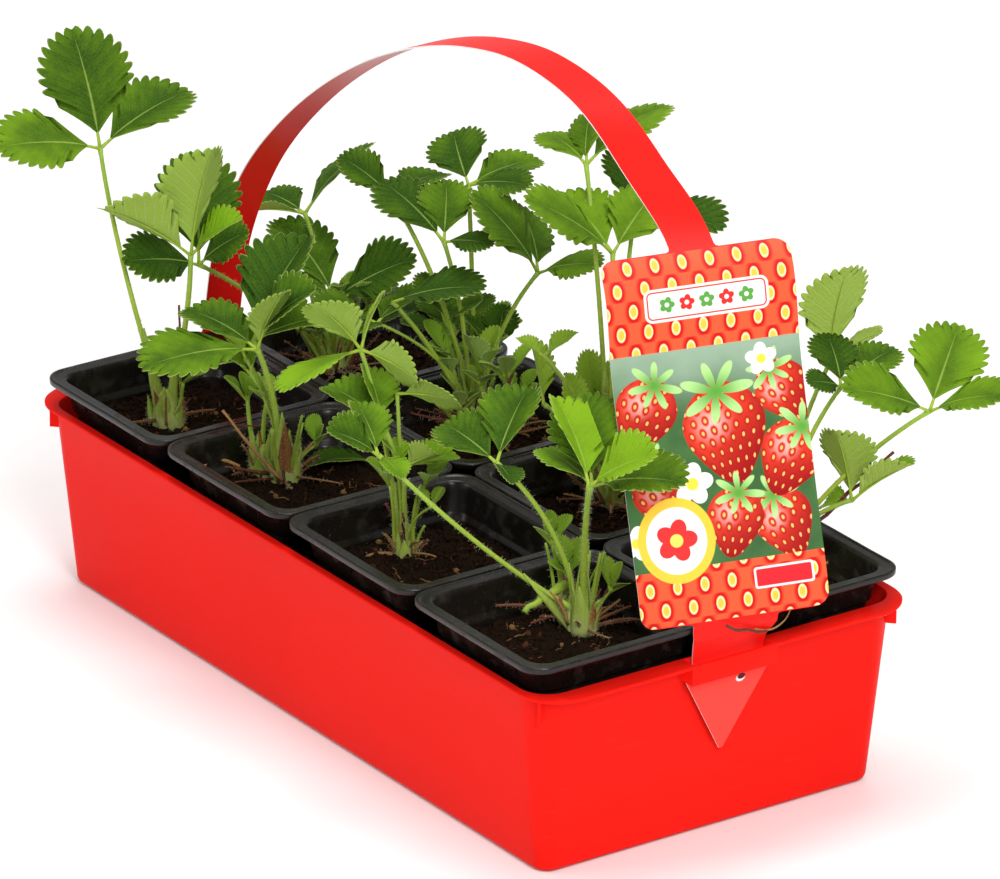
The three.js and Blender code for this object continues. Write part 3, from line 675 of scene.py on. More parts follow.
def sheathGreen():
    tree = Tree("sheathGreen", 0.2)
    tone, share = tree.attribute("tone"), tree.attribute("share")
    streak = tree.noise(800, 4, tree.place((1, 1, 0.1)))
    color = tree.mix(streak, *stalkColors["sheath"])
    color = tree.mix(tree.ease(share, 0.5, 0.0) * 0.6, color, stalkColors["sheathFoot"])
    brown = tree.mix(streak, *stalkColors["sheathBrown"])
    color = tree.mix(tree.ease(tone + share * 0.3 + streak * 0.2, 0.95, 1.2), color, brown)
    tree.bump(streak, 0.0005, 0.7)
    return tree.finish(color, 0.55 + streak * 0.2)


def deadBrown():
    tree = Tree("deadBrown", 0.35)
    tone = tree.attribute("tone")
    streak = tree.noise(900, 4, tree.place((1, 1, 0.12)))
    dark = tree.mix(streak, *stalkColors["deadDark"])
    pale = tree.mix(streak, *stalkColors["deadPale"])
    tree.bump(streak, 0.0006, 0.8)
    return tree.finish(tree.mix(tone, dark, pale), 0.55 + streak * 0.2)


def hairWhite():
    tree = Tree("hairWhite", 0.3)
    return tree.finish(tree.mix(tree.noise(200, 2), *stalkColors["hair"]), 0.6)


# How far out a tooth of the margin stands, from 0 in a notch to 1 at a tip.
def toothReach(place):
    step = place % 1.0
    rise = step / 0.62 if step < 0.62 else (1 - step) / 0.38
    return math.sin(rise * math.pi / 2) ** 0.8


# A leaflet's margin: a plain wedge at the base, then a toothed arc up to the tip. The first
# value is the share of the length, the second the share of the half width.
def marginPoint(t):
    wedge = foliage["wedge"]
    if t < wedge:
        u = t / wedge
        share = 0.13 * (1 - u) ** 2 + 2 * u * (1 - u) * 0.30 + u * u * 0.43
        width = 0.03 * (1 - u) ** 2 + 2 * u * (1 - u) * 0.42 + u * u * 0.90
        return share, width
    s = (t - wedge) / (1 - wedge)
    angle = math.radians(-24 + 114 * s)
    tooth = 0.55 if s > 0.999 else toothReach(s * foliage["teethPerSide"])
    reach = 0.88 + 0.185 * tooth * (1 - 0.3 * s)
    return 0.62 + 0.38 * math.sin(angle) * reach + 0.02 * tooth, max(math.cos(angle) * reach, 0.0)


def stations():
    wedge, teeth, wedgeSteps = foliage["wedge"], foliage["teethPerSide"], 6
    places = [wedge * k / wedgeSteps for k in range(wedgeSteps)]
    places += [wedge + (1 - wedge) * (tooth + step) / teeth
               for tooth in range(teeth) for step in (0.0, 0.16, 0.38, 0.6, 0.8)]
    return [*places, 1.0]


marginStations = stations()


# A leaflet is two skins with a grid of its own on each half, closed round the margin, and a
# midrib below. A blade gives its heading, rise and roll in degrees and its length.
def leaflet(batch, base, blade, habit, draw, slotBlade, slotStem, tone):
    heading, rise, roll, length = blade
    turn, tilt, twist = (math.radians(a) for a in (heading, rise, roll))
    level = math.cos(tilt)
    along = Vector((level * math.cos(turn), level * math.sin(turn), math.sin(tilt)))
    sideways = Vector((-math.sin(turn), math.cos(turn), 0))
    across = sideways * math.cos(twist) + along.cross(sideways) * math.sin(twist)
    up = along.cross(across)
    shape = foliage["habits"][habit]
    half = length * shape["width"] / 2
    lift = math.tan(math.radians(shape["fold"] + draw.uniform(-3, 4)))
    curl = draw.uniform(0.2, 2.4) if habit == "mature" else 0.5
    bend = draw.uniform(-2, 2)
    ruffle = draw.uniform(0.3, 1.1) * (length / 45)
    phase = draw.uniform(0, 6)
    puffHeight = 0.004 * length
    wedge, columns, skin = foliage["wedge"], 6, 0.17

    def at(share, offset, height):
        edge = offset / half
        fold = (math.sqrt(offset * offset + 2.2) - 1.48) * lift
        droop = -curl * edge * edge
        wave = ruffle * edge * edge * math.sin(9 * share + phase + (2 if offset > 0 else 0))
        return (base + along * (share * length) + across * (offset + bend * share * share)
                + up * (fold + droop + wave + height
                        + length * shape["arch"] * share * (1 - share)))

    points, vein, reach, upper, lengthwise = [], [], [], [], []
    grid = {}
    for face, thick in ((1, skin), (0, -skin)):
        for sign in (1, -1):
            for k, t in enumerate(marginStations):
                edgeShare, edgeWidth = marginPoint(t)
                rib = 0.13 + 0.87 * t ** 1.5
                count = (t - wedge) / (1 - wedge) * foliage["teethPerSide"] + 0.34
                quilt = abs(math.sin(math.pi * count)) ** 0.7
                for j in range(columns + 1):
                    if j == 0 and sign == -1:
                        grid[face, sign, k, j] = grid[face, 1, k, 0]
                        continue
                    u = j / columns
                    share = rib + (edgeShare - rib) * (u ** 0.9)
                    swell = math.sin(math.pi * min(u * 1.05, 1)) ** 0.6
                    puff = puffHeight * quilt * swell * edgeWidth
                    grid[face, sign, k, j] = len(points)
                    points.append(at(share, sign * edgeWidth * half * u,
                                     thick + puff * (1 if habit == "mature" else 0.5)))
                    vein.append(count)
                    reach.append(u)
                    upper.append(float(face))
                    lengthwise.append(share)

    faces = []
    last = len(marginStations) - 1

    def close(corners, kept):
        quad = [grid[corner] for corner in corners]
        faces.append(tuple(dict.fromkeys(quad if kept else reversed(quad))))

    for face in (1, 0):
        for sign in (1, -1):
            for k in range(last):
                for j in range(columns):
                    close([(face, sign, k, j), (face, sign, k + 1, j), (face, sign, k + 1, j + 1),
                           (face, sign, k, j + 1)], (sign == 1) == (face == 1))
    for sign in (1, -1):
        for k in range(last):
            close([(1, sign, k, columns), (1, sign, k + 1, columns), (0, sign, k + 1, columns),
                   (0, sign, k, columns)], sign == 1)
    for sign in (1, -1):
        for k in (0, last):
            for j in range(columns):
                close([(1, sign, k, j), (1, sign, k, j + 1), (0, sign, k, j + 1), (0, sign, k, j)],
                      (sign == 1) != (k == 0))
    batch.add(points, faces, slotBlade, vein=vein, reach=reach, upper=upper, tone=tone,
              along=lengthwise)
    midrib = ((-0.012, -0.3, 0.85), (0.05, -0.3, 0.72), (0.11, -0.32, 0.64), (0.17, -0.42, 0.54),
              (0.3, -0.45, 0.44), (0.5, -0.42, 0.36), (0.72, -0.36, 0.26), (0.9, -0.3, 0.1))
    tube(batch, [at(share, 0, height) for share, height, _ in midrib],
         [thick for _, _, thick in midrib], 6, slotStem, tone=0.0)


# A leaf's stem rises from the crown in a sheath, bends at its knee and ends at the hub.
def makeLeaf(leaves, stems, foot, leaf, draw):
    hub = Vector(leaf["hub"])
    top = foot + hub
    flat = Vector((hub.x, hub.y, 0))
    start = foot + raised(7)
    if flat.length > 0.1:
        start += flat.normalized() * 1.6
    bow, bend = leaf.get("bow", 0.2), leaf.get("bend", 0.62)
    knee = Vector((start.x + (top.x - start.x) * bow, start.y + (top.y - start.y) * bow,
                   start.z + (top.z - start.z) * bend))
    root = foot + (start - foot) * 0.5
    root.z = foot.z - 3
    path = [root, root.lerp(start, 0.5), *bezier(start, knee, top, 18)]
    stem = leaf.get("stem", 1.3) * 0.86
    radii = [stem * (1.5 - 0.5 * min(1, k / 5)) * (1 - 0.22 * k / len(path))
             for k in range(len(path))]
    radii[-1] = stem
    reddish = leaf.get("red", draw.choice([0.0, 0.3, 0.7, 0.95]))
    tube(stems, path, radii, 9, 0, tone=reddish)
    makeSheath(stems, path[:9], stem, draw)
    habit = leaf.get("habit", "mature")
    tone = leaf.get("tone", draw.uniform(0.15, 0.75))
    for blade in leaf["blades"]:
        leaflet(leaves, top, blade, habit, draw, 1 if habit == "young" else 0, 2,
                min(1, max(0, tone + draw.uniform(-0.15, 0.15))))


# An open sleeve that wraps a stem at its foot and draws back higher up.
def makeSheath(stems, path, stem, draw):
    along = (path[-1] - path[0]).normalized()
    side = Vector((-along.y, along.x, 0))
    side = side.normalized() if side.length > 0.05 else Vector((1, 0, 0))
    out = side.cross(along) * (-1)
    steps, around, skin = 8, 9, 0.22
    reach = draw.uniform(0.75, 1.0)
    length = (path[-1] - path[0]).length * reach
    rings = []
    for k in range(steps + 1):
        t = k / steps
        centre = path[0] + along * (length * t)
        wrap = math.pi * (0.62 - 0.5 * t ** 2.2)
        radius = stem * (2.5 - 1.1 * t) + 0.25
        angles = [wrap * (2 * j / (around - 1) - 1) for j in range(around)]
        rings.append([centre + out * (r * math.cos(a)) + side * (r * math.sin(a))
                      for r, turned in ((radius + skin, angles), (radius - skin, angles[::-1]))
                      for a in turned])
    share = [k / steps for k in range(steps + 1) for _ in range(2 * around)]
    stack(stems, rings, capped=True, slot=1, share=share, tone=draw.uniform(0.0, 0.8))


# A crown is a low lumpy stock, with pointed bracts that stand round it in a spiral.
def makeCrown(stems, foot, radius, tall, phase, draw):
    sides, bracts, perTurn = 16, 12, 4
    outline = ((-6, 0.75, 0), (0, 0.85, 0), (3, 0.86, 0), (tall * 0.2, 0.74, 0.2),
               (tall * 0.36, 0.6, 0.4), (tall * 0.5, 0.36, 0.7), (tall * 0.56, 0.12, 0.8))
    rings = [[foot + Vector((shift, -shift * 0.5, z)) + Vector((
        math.cos(a) * radius * grow * (1 + 0.14 * math.sin(3 * a + z * 0.2 + phase)),
        math.sin(a) * radius * grow * (1 + 0.14 * math.cos(2 * a + z * 0.15)), 0))
        for a in circle(sides)] for z, grow, shift in outline]
    share = [k / 14 for k in range(len(outline)) for _ in range(sides)]
    stack(stems, rings, capped=True, slot=1, share=share, tone=0.2)
    for i in range(bracts):
        angle = phase + i * 2.4 + draw.uniform(-0.3, 0.3)
        out = outward(angle)
        sideways = Vector((-out.y, out.x, 0))
        inner = (i % perTurn) / perTurn
        high = tall * draw.uniform(0.45, 0.85) * (0.8 + 0.6 * inner)
        spread = radius * (0.86 - 0.5 * inner)
        lean = spread + radius * draw.uniform(-0.1, 0.55)
        base = foot + out * (spread * 0.9)
        middle = foot + out * spread + raised(high * 0.45) + sideways * draw.uniform(-0.5, 0.5)
        path = [*bezier(base + raised(-2), base + raised(high * 0.2), middle, 4),
                *bezier(middle, foot + out * (spread * 0.6 + lean * 0.4) + raised(high * 0.72),
                        foot + out * lean + raised(high), 5)[1:]]
        wide = min(3.6, radius * 0.62) * draw.uniform(0.7, 1.1)
        widths = [wide * w for w in (0.9, 1.0, 1.05, 1.0, 0.9, 0.76, 0.6, 0.42, 0.24, 0.05)]
        tube(stems, path, widths, 9, 1, flat=0.5, side=sideways, tone=draw.random() ** 1.5)


# Broken brown stalks of old leaves, standing and lying round a crown. "start" is a share of
# the crown's radius, and "steep" is in radians.
broken = {
    "standing": {"length": (7, 22), "steep": (0.7, 1.3)},
    "lying": {"length": (9, 26), "steep": (0.05, 0.3)},
    "standingShare": 0.55, "start": (0.5, 1.1), "rise": (0, 3),
    "bow": ((-2, 2), (-2, 2), (0, 2.5)), "thick": (0.45, 0.95), "tones": [0.0, 0.1, 0.2, 0.45, 0.7],
}


def makeLitter(stems, foot, radius, count, draw):
    for _ in range(count):
        out = outward(draw.uniform(0, 2 * math.pi))
        pose = broken["standing" if draw.random() < broken["standingShare"] else "lying"]
        length = draw.uniform(*pose["length"])
        start = foot + out * radius * draw.uniform(*broken["start"])
        start = start + raised(draw.uniform(*broken["rise"]))
        steep = draw.uniform(*pose["steep"])
        aim = (out * math.cos(steep) + raised(math.sin(steep))) * length
        bow = Vector([draw.uniform(*reach) for reach in broken["bow"]])
        thick = draw.uniform(*broken["thick"])
        path = bezier(start, start + aim * 0.5 + bow, start + aim, 6)
        tube(stems, path, [thick * (1 - 0.06 * k) for k in range(7)], 6, 2,
             tone=draw.choice(broken["tones"]))


# Short green stalks that stand close round a crown; every third has a half-open leaf.
shoot = {
    "start": (0.4, 1.15), "lean": (1, 11), "rise": (12, 34), "bow": ((-2, 2), (-2, 2), (0, 3)),
    "thick": (0.6, 1.15), "tones": [0.2, 0.7, 1.0, 1.0],
    "leafEvery": 3, "leafTone": (0.1, 0.6), "leafSides": ((0, 55), (75, 40), (-75, 40)),
    "leafLength": (9, 17),
}


def makeShoots(leaves, stems, foot, radius, count, draw):
    for k in range(count):
        angle = draw.uniform(0, 2 * math.pi)
        out = outward(angle)
        start = foot + out * radius * draw.uniform(*shoot["start"])
        top = start + out * draw.uniform(*shoot["lean"]) + raised(draw.uniform(*shoot["rise"]))
        bow = Vector([draw.uniform(*reach) for reach in shoot["bow"]])
        thick = draw.uniform(*shoot["thick"])
        path = bezier(start, start.lerp(top, 0.5) - out * 2 + bow, top, 8)
        tube(stems, path, [thick * (1.15 - 0.05 * j) for j in range(9)], 7, 0,
             tone=draw.choice(shoot["tones"]))
        if k % shoot["leafEvery"] == 0:
            facing = math.degrees(angle)
            tone = draw.uniform(*shoot["leafTone"])
            for side, rise in shoot["leafSides"]:
                blade = (facing + side + draw.uniform(-15, 15), rise + draw.uniform(-12, 12),
                         draw.uniform(-20, 20), draw.uniform(*shoot["leafLength"]))
                leaflet(leaves, path[-1], blade, "young", draw, 1, 2, tone)


# A dry stalk, or a cut green one, a little crooked and with knots.
def makeStalk(stems, foot, stalk):
    start, end = Vector(stalk.get("from", (0, 0, 8))), Vector(stalk["to"])
    via = Vector(stalk["via"]) if "via" in stalk else (start + end) / 2
    via = via + Vector((0.6, -0.4, 0))
    thick = stalk["thick"]
    path = [foot + p for p in bezier(start, via, end, 10)]
    for k, point in enumerate(path):
        point.x += 0.5 * math.sin(1.7 * k + thick)
        point.z += 0.3 * math.cos(2.1 * k)
    radii = [thick * (1 - 0.045 * k) * (1.15 if k % 4 == 2 else 0.95) for k in range(11)]
    tube(stems, path, radii, 9, 0 if stalk.get("green") else 2, tone=stalk.get("pale", 0.0))


# Hairs per square metre, and their lengths in metres; they grow on faces that look any way.
hairs = {
    "stem": {"density": 500000, "small": 0.0008, "large": 0.0016, "tilt": 0.6, "facing": -2.0},
    "leaf": {"density": 60000, "small": 0.0003, "large": 0.0006, "tilt": 0.6, "facing": -2.0},
}
# Each plant's foot is on the soil, and all its other places are measured from there. "second" is
# a second crown, "litter" and "shoots" are how many broken stalks and short shoots stand round.
# A leaf has its hub, where the leaflets meet, "bow" and "bend" for how its stem curves, and for
# each leaflet the heading, rise and roll in degrees and the length.
plants = [
    {"foot": (-138, -54), "crown": 8, "tall": 27, "phase": 0.4,
     "litter": 6, "shoots": 2,
     "leaves": [
         {"hub": (-27, -14, 116), "bow": 0.8, "tone": 0.38,
          "blades": [(175, 65, -10, 50), (-100, 10, -20, 47), (90, 20, 5, 46)]},
         {"hub": (2, 11, 73), "bow": 1, "stem": 1.5, "habit": "folded", "tone": 0.8,
          "blades": [(50, 78, -40, 48), (-105, 35, 40, 44), (45, 40, 15, 28)]}],
     "stalks": [{"from": (-3, 0, 10), "to": (-17, -6, 52), "thick": 1.1},
                {"from": (2, 4, 10), "to": (-2, 8, 50), "thick": 0.8}]},
    {"foot": (-62, -46), "second": (-9, -4), "crown": 6, "tall": 32, "phase": 1.1,
     "litter": 8, "shoots": 5,
     "leaves": [
         {"hub": (3, -15, 62), "stem": 1.6, "tone": 0.25,
          "blades": [(-100, 0, -5, 50), (-160, 15, 0, 36), (30, 65, -15, 30)]},
         {"hub": (-6, -11, 62), "habit": "folded", "tone": 0.15,
          "blades": [(110, 40, -15, 50), (35, 45, 25, 38), (85, 5, 5, 34)]},
         {"hub": (-14, -9, 50), "habit": "young", "tone": 0.65,
          "blades": [(170, 25, -10, 26), (-85, 10, -10, 23)]},
         {"hub": (-10, -10, 46), "stem": 0.9, "habit": "folded", "tone": 0.5,
          "blades": [(123, 40, -37, 24), (-97, 42, -22, 17)]}],
     "stalks": [{"from": (6, -5, 3), "via": (-3, -13, 14), "to": (-15, -20, 30), "thick": 0.9,
                 "pale": 0.6}]},
    {"foot": (28, -48), "crown": 4.5, "tall": 15, "phase": 2.3,
     "litter": 10, "shoots": 4,
     "leaves": [
         {"hub": (-18, -9, 85), "bow": 0.4, "red": 1, "tone": 0.8,
          "blades": [(-95, 50, 40, 31), (-85, -12, 20, 39), (15, -10, -70, 30),
                     (110, 50, -55, 25)]},
         {"hub": (-4, -1, 69), "stem": 1.1, "red": 0.9, "tone": 0.6, "blades": [(25, 5, -50, 28)]},
         {"hub": (0, -11, 60), "bow": -0.2, "red": 1, "habit": "folded", "tone": 0.3,
          "blades": [(-170, 15, -5, 30), (165, 35, 30, 27)]},
         {"hub": (7, -5, 42), "habit": "folded", "tone": 0.6,
          "blades": [(15, 30, -40, 21), (85, 0, 10, 24), (175, 20, 20, 18)]},
         {"hub": (16, 2, 26), "stem": 0.7, "habit": "young", "tone": 0.5,
          "blades": [(179, 20, 3, 12), (115, 22, -7, 12), (60, 60, 0, 9)]}],
     "stalks": [{"from": (1, -1, 6), "to": (11, -8, 24), "thick": 0.8},
                {"from": (-1, 1, 6), "to": (-9, -3, 20), "thick": 1}]},
    {"foot": (126, -30), "second": (-13, 3), "crown": 6, "tall": 22, "phase": 0.9,
     "litter": 14, "shoots": 6,
     "leaves": [
         {"hub": (-60, -56, 66), "bow": 0.45, "bend": 0.3, "habit": "folded", "tone": 0.4,
          "blades": [(-100, 35, -30, 27), (170, 30, 20, 27), (0, -10, -5, 18)]},
         {"hub": (-15, -31, 73), "habit": "folded", "tone": 0.12,
          "blades": [(-175, 12, -20, 32), (120, 35, -10, 36), (-15, -5, -20, 18)]},
         {"hub": (31, -19, 77), "stem": 1.6, "habit": "folded", "tone": 1,
          "blades": [(170, 38, 25, 40), (30, 35, 30, 35)]},
         {"hub": (26, -14, 74), "bow": -0.2, "tone": 0.3,
          "blades": [(155, 45, -15, 38), (30, 13, 10, 41), (-170, 12, 10, 30)]}],
     "stalks": [{"from": (-12, 1, 14), "via": (-12, -9, 13), "to": (-11, -20, 8), "thick": 2.1,
                 "pale": 0.3, "green": True},
                {"from": (-12, 2, 8), "to": (-18, 8, 30), "thick": 1.2, "pale": 0.4}]},
    {"foot": (-146, 34), "crown": 6, "tall": 20, "phase": 1.9,
     "litter": 34, "shoots": 12,
     "leaves": [
         {"hub": (-4, -64, 61), "bow": 0.5, "tone": 0.1,
          "blades": [(152, 66, 5, 46), (-95, 14, -28, 36), (38, 40, 35, 28)]},
         {"hub": (-17, -3, 66), "tone": 0.1,
          "blades": [(-175, 0, -10, 28), (-130, 0, 30, 22), (90, 35, -27, 41)]},
         {"hub": (9, -5, 37), "tone": 0.15,
          "blades": [(-170, 35, 5, 43), (-105, 30, -15, 21), (45, 30, 30, 39)]},
         {"hub": (15, -27, 30), "stem": 0.8, "tone": 0.2,
          "blades": [(-97, 26, -11, 21), (40, 21, 8, 22), (-20, 30, 10, 20)]},
         {"hub": (16, 6, 32), "stem": 0.8, "habit": "young", "tone": 0.4,
          "blades": [(60, 50, 0, 20), (-30, 60, 0, 18)]},
         {"hub": (21, 9, 26), "stem": 0.9, "tone": 0.1,
          "blades": [(10, 30, 10, 26), (80, 35, 0, 23), (-60, 20, 0, 23)]}]},
    {"foot": (-62, 48), "second": (13, 2), "crown": 6, "tall": 28, "phase": 0.2,
     "litter": 38, "shoots": 16,
     "leaves": [
         {"hub": (-38, -16, 94), "bow": 0.3, "tone": 0.05,
          "blades": [(-140, 35, -20, 27), (100, 5, -5, 29)]},
         {"hub": (-10, -9, 82), "tone": 0.2,
          "blades": [(-165, 28, -5, 38), (140, 35, 0, 30), (30, 5, 10, 22)]},
         {"hub": (-33, 19, 93), "bow": 0.3, "tone": 0.25,
          "blades": [(160, 20, -20, 33), (85, 8, 0, 34), (30, 10, 10, 29)]},
         {"hub": (-12, -33, 60), "bow": 0.5, "tone": 0.1, "blades": [(42, 15, 5, 40)]},
         {"hub": (9, 25, 67), "tone": 0.3,
          "blades": [(-135, 50, -10, 43), (160, 30, 40, 36), (30, 17, 10, 30)]},
         {"hub": (-13, -40, 52), "stem": 0.9, "tone": 0.1,
          "blades": [(-109, 24, -9, 30), (-60, 10, 10, 24), (105, 18, -9, 20)]},
         {"hub": (-13, -6, 45), "stem": 0.9, "tone": 0.3,
          "blades": [(176, 38, 11, 24), (30, 36, 16, 20)]},
         {"hub": (10, -4, 30), "stem": 0.8, "habit": "young", "tone": 0.6,
          "blades": [(-60, 62, 0, 22), (100, 66, 0, 20), (10, 50, 0, 18)]},
         {"hub": (-25, 6, 31), "stem": 0.9, "tone": 0.05,
          "blades": [(170, 25, 10, 27), (95, 32, -10, 25), (-110, 20, 0, 23)]},
         {"hub": (-14, 17, 27), "stem": 0.9, "habit": "young", "tone": 0.35,
          "blades": [(120, 52, 0, 21), (40, 45, 0, 19), (-160, 42, 0, 19)]},
         {"hub": (2, 9, 33), "stem": 0.9, "habit": "folded", "tone": 0.1,
          "blades": [(130, 45, 10, 21), (-150, 42, 0, 20)]}],
     "stalks": [{"from": (12, 2, 12), "to": (24, 8, 44), "thick": 1.3, "pale": 0.3}]},
    {"foot": (32, 50), "crown": 6, "tall": 22, "phase": 2.8,
     "litter": 30, "shoots": 14,
     "leaves": [
         {"hub": (-17, 12, 101), "tone": 0.6,
          "blades": [(-110, 36, -15, 45), (-180, 20, 0, 40), (110, 28, 12, 36)]},
         {"hub": (-49, 21, 127), "bow": 0.35, "tone": 0.5,
          "blades": [(-180, 10, 5, 28), (138, 34, -38, 28), (94, 20, -13, 45)]},
         {"hub": (-36, 36, 106), "bow": 0.3, "tone": 0.1,
          "blades": [(155, 38, 15, 32), (28, 2, 10, 40)]},
         {"hub": (-21, -19, 62), "habit": "young", "tone": 0.5,
          "blades": [(100, 13, -5, 20), (-175, 10, 0, 16)]},
         {"hub": (-20, -19, 41), "habit": "young", "tone": 0.8, "blades": [(160, 40, 45, 31)]},
         {"hub": (-4, -16, 34), "stem": 0.8, "habit": "young", "tone": 0.5,
          "blades": [(150, 55, 20, 24), (-30, 45, 0, 22)]},
         {"hub": (-19, 4, 33), "stem": 0.9, "habit": "young", "tone": 0.4,
          "blades": [(160, 62, 0, 25), (80, 60, 10, 22), (-110, 55, 0, 20)]},
         {"hub": (2, 15, 34), "stem": 0.9, "tone": 0.15,
          "blades": [(100, 30, 0, 25), (20, 25, 10, 23), (-170, 35, 0, 20)]}]},
    {"foot": (124, 64), "crown": 6, "tall": 20, "phase": 1.5,
     "litter": 12, "shoots": 6,
     "leaves": [
         {"hub": (10, 25, 78), "tone": 0.1,
          "blades": [(155, 32, 5, 26), (-90, 20, -25, 18), (95, 17, 5, 30)]},
         {"hub": (38, 48, 72), "bow": 0.4, "tone": 0.4,
          "blades": [(122, 38, 15, 40), (-105, 20, -20, 39), (28, 22, 10, 36)]},
         {"hub": (-14, 37, 77), "tone": 0.9, "blades": [(30, 80, -28, 43), (90, 15, -50, 26)]},
         {"hub": (20, 24, 33), "habit": "folded", "tone": 0.7,
          "blades": [(-87, 75, 25, 33), (35, 37, -20, 32), (-170, -26, -25, 18)]},
         {"hub": (-8, -14, 40), "stem": 0.9, "habit": "folded", "tone": 0.35,
          "blades": [(-120, 30, -10, 26), (-20, 20, 0, 24)]}],
     "stalks": [{"from": (2, 3, 8), "to": (26, 40, 52), "thick": 1}]},
]


def makePlant(index, plant, looks, hair):
    draw = random.Random(seeds["plants"] + index)
    foot = Vector((*plant["foot"], soilLevel))
    radius, litter, shoots = plant["crown"], plant["litter"], plant["shoots"]
    leaves, stems = Batch(), Batch()
    makeCrown(stems, foot, radius, plant["tall"], plant["phase"], draw)
    if "second" in plant:
        other = foot + Vector((*plant["second"], 0))
        makeCrown(stems, other, radius, plant["tall"] * 0.75, plant["phase"] + 1, draw)
        tube(stems, [foot + raised(4), (foot + other) / 2 + raised(5), other + raised(4)],
             [2.4, 2.2, 2.2], 8, 1, tone=0.4)
        makeLitter(stems, other, radius, litter // 2, draw)
        makeShoots(leaves, stems, other, radius, shoots // 2, draw)
    makeLitter(stems, foot, radius, litter, draw)
    makeShoots(leaves, stems, foot, radius, shoots, draw)
    for leaf in plant["leaves"]:
        makeLeaf(leaves, stems, foot, leaf, draw)
    for stalk in plant.get("stalks", []):
        makeStalk(stems, foot, stalk)
    node = f"plant_{index + 1}"
    leafPiece = leaves.make(f"{node}_leaves", [looks["leaf"], looks["young"], looks["stem"]])
    stemPiece = stems.make(f"{node}_stems", [looks["stem"], looks["sheath"], looks["dead"]])
    hand(leafPiece, node)
    hand(stemPiece, node)
    for base, part in ((stemPiece, "stem"), (leafPiece, "leaf")):
        grown = scatter(base, f"{node}_{part}_hairs", shape=hair, material=looks["hair"],
                        seed=seeds["hairs"] + index, **hairs[part])
        hand(grown, node)


# Small things that lie loose: points of the middle line, thickness, taper and tone of each.
fallen = {
    "leaflet": {"base": (-52, -8, 79), "blade": (-122, -3, 6, 28)},
    "stalks": (
        ([(-79, -77, 80), (-81, -71, 83), (-80.5, -64, 82.5), (-77, -58, 79.5)], 1.0, 0.3, 0.85),
        ([(-76, -62, 99), (-77, -52, 96), (-76, -40, 93)], 0.4, 0.3, 0.05)),
    "twig": (
        ([(190, -6.2, 95.3), (190.2, -2, 92.4), (190, 4, 91), (189.6, 9, 88.6), (189.2, 14, 87.6)],
         0.7, 0.35, 0.02),
        ([(189, 8, 90), (188.6, 13, 88), (187.6, 19, 87.2), (186, 25, 88.6), (184, 29, 91)],
         0.42, 0.35, 0.75)),
}


def makeFallen(looks):
    leaves = Batch()
    leaflet(leaves, Vector(fallen["leaflet"]["base"]), fallen["leaflet"]["blade"], "mature",
            random.Random(seeds["fallen"]), 0, 1, 0.0)
    hand(leaves.make("plant_2_fallen", [looks["leaf"], looks["stem"]]), "plant_2")
    for key, name, slotName, node, perSpan, sides in (
            ("stalks", "plant_2_stalks", "leaf", "plant_2", 5, 7),
            ("twig", "soil_8_twig", "peat", "soil_8", 4, 6)):
        batch = Batch()
        for points, thick, taper, tone in fallen[key]:
            line = centripetal([Vector(p) for p in points], perSpan)
            tube(batch, line, [thick * (1 - taper * k / len(line)) for k in range(len(line))],
                 sides, 0, tone=tone)
        hand(batch.make(name, [looks["dead"]]), node)


# The handle strip is one printed sheet: an arrow tip in the far slot, the strap of the arch, the
# label panel, and a stem with an arrow tip in the near slot.
strip = {
    "thickness": 0.6, "strapHalf": 9, "panelHalf": 38, "panelRadius": 6, "stemHalf": 17,
    "arrowHalf": 20.3, "arrowShoulder": 70.8, "arrowTip": 37, "wallGap": 1.6,
    "tearAcross": 6.5, "tearBelowShoulder": 4.5,
    "red": ((0.84, 0.007, 0.005), (0.93, 0.014, 0.009)), "litRed": (0.95, 0.16, 0.12),
    "tornEdge": (0.93, 0.86, 0.84), "tornHoleShade": (0.12, 0.01, 0.01),
    "backRed": ((0.74, 0.008, 0.006), (0.84, 0.016, 0.012)), "backHighlight": (0.72, 0.42, 0.40),
    "cutEdge": ((0.86, 0.80, 0.79), (0.96, 0.93, 0.92)),
}
# The label is a made-up design. Its places are across from the middle and down from the top.
label = {
    "seedWide": 11.0, "seedTall": 8.4, "orange": (0.93, 0.10, 0.035),
    "seedRed": (0.60, 0.004, 0.006), "seedRim": (1.0, 0.80, 0.42), "seedHeart": (1.0, 0.52, 0.06),
    "leafage": ((0.010, 0.045, 0.018), (0.09, 0.22, 0.06)), "haze": (0.30, 0.42, 0.30),
    "berries": ((30, 60, 11.5, -0.5), (-27, 62, 13, 0.45), (24, 111, 12.5, -0.3),
                (29, 86, 13.5, 0.5), (-22, 94, 13, -0.4), (5, 73, 17.5, -0.15),
                (4, 108, 12, 0.25)),
    "skin": ((0.93, 0.060, 0.025), (0.33, 0.003, 0.004)), "skinEdge": (0.26, 0.002, 0.003),
    "gloss": (1.0, 0.60, 0.52), "pit": (0.34, 0.004, 0.004), "pip": (0.95, 0.50, 0.14),
    "cap": ((0.10, 0.34, 0.04), (0.44, 0.72, 0.26)),
    "blossoms": ((-36, 111, 7, 0.2), (22, 46, 6.5, 0.9), (-11, 91, 8.5, 0.4)),
    "petal": (0.93, 0.94, 0.92), "pollen": (0.86, 0.66, 0.06),
    "badge": (-20, 112), "badgeRim": (0.90, 0.56, 0.05), "badgeField": (0.97, 0.95, 0.88),
    "badgePetal": (0.84, 0.03, 0.03), "badgePollen": (0.95, 0.72, 0.12),
    "plate": (2, 20), "cream": (0.93, 0.88, 0.80), "plateLine": (0.78, 0.02, 0.02),
    "motifs": 5, "motifStart": -14, "motifPitch": 8,
    "motifGreen": (0.10, 0.34, 0.06), "motifRed": (0.80, 0.025, 0.025),
    "smallPlate": (21, 131), "smallPlateRim": (0.95, 0.93, 0.91),
    "smallPlateRed": (0.70, 0.02, 0.03),
}


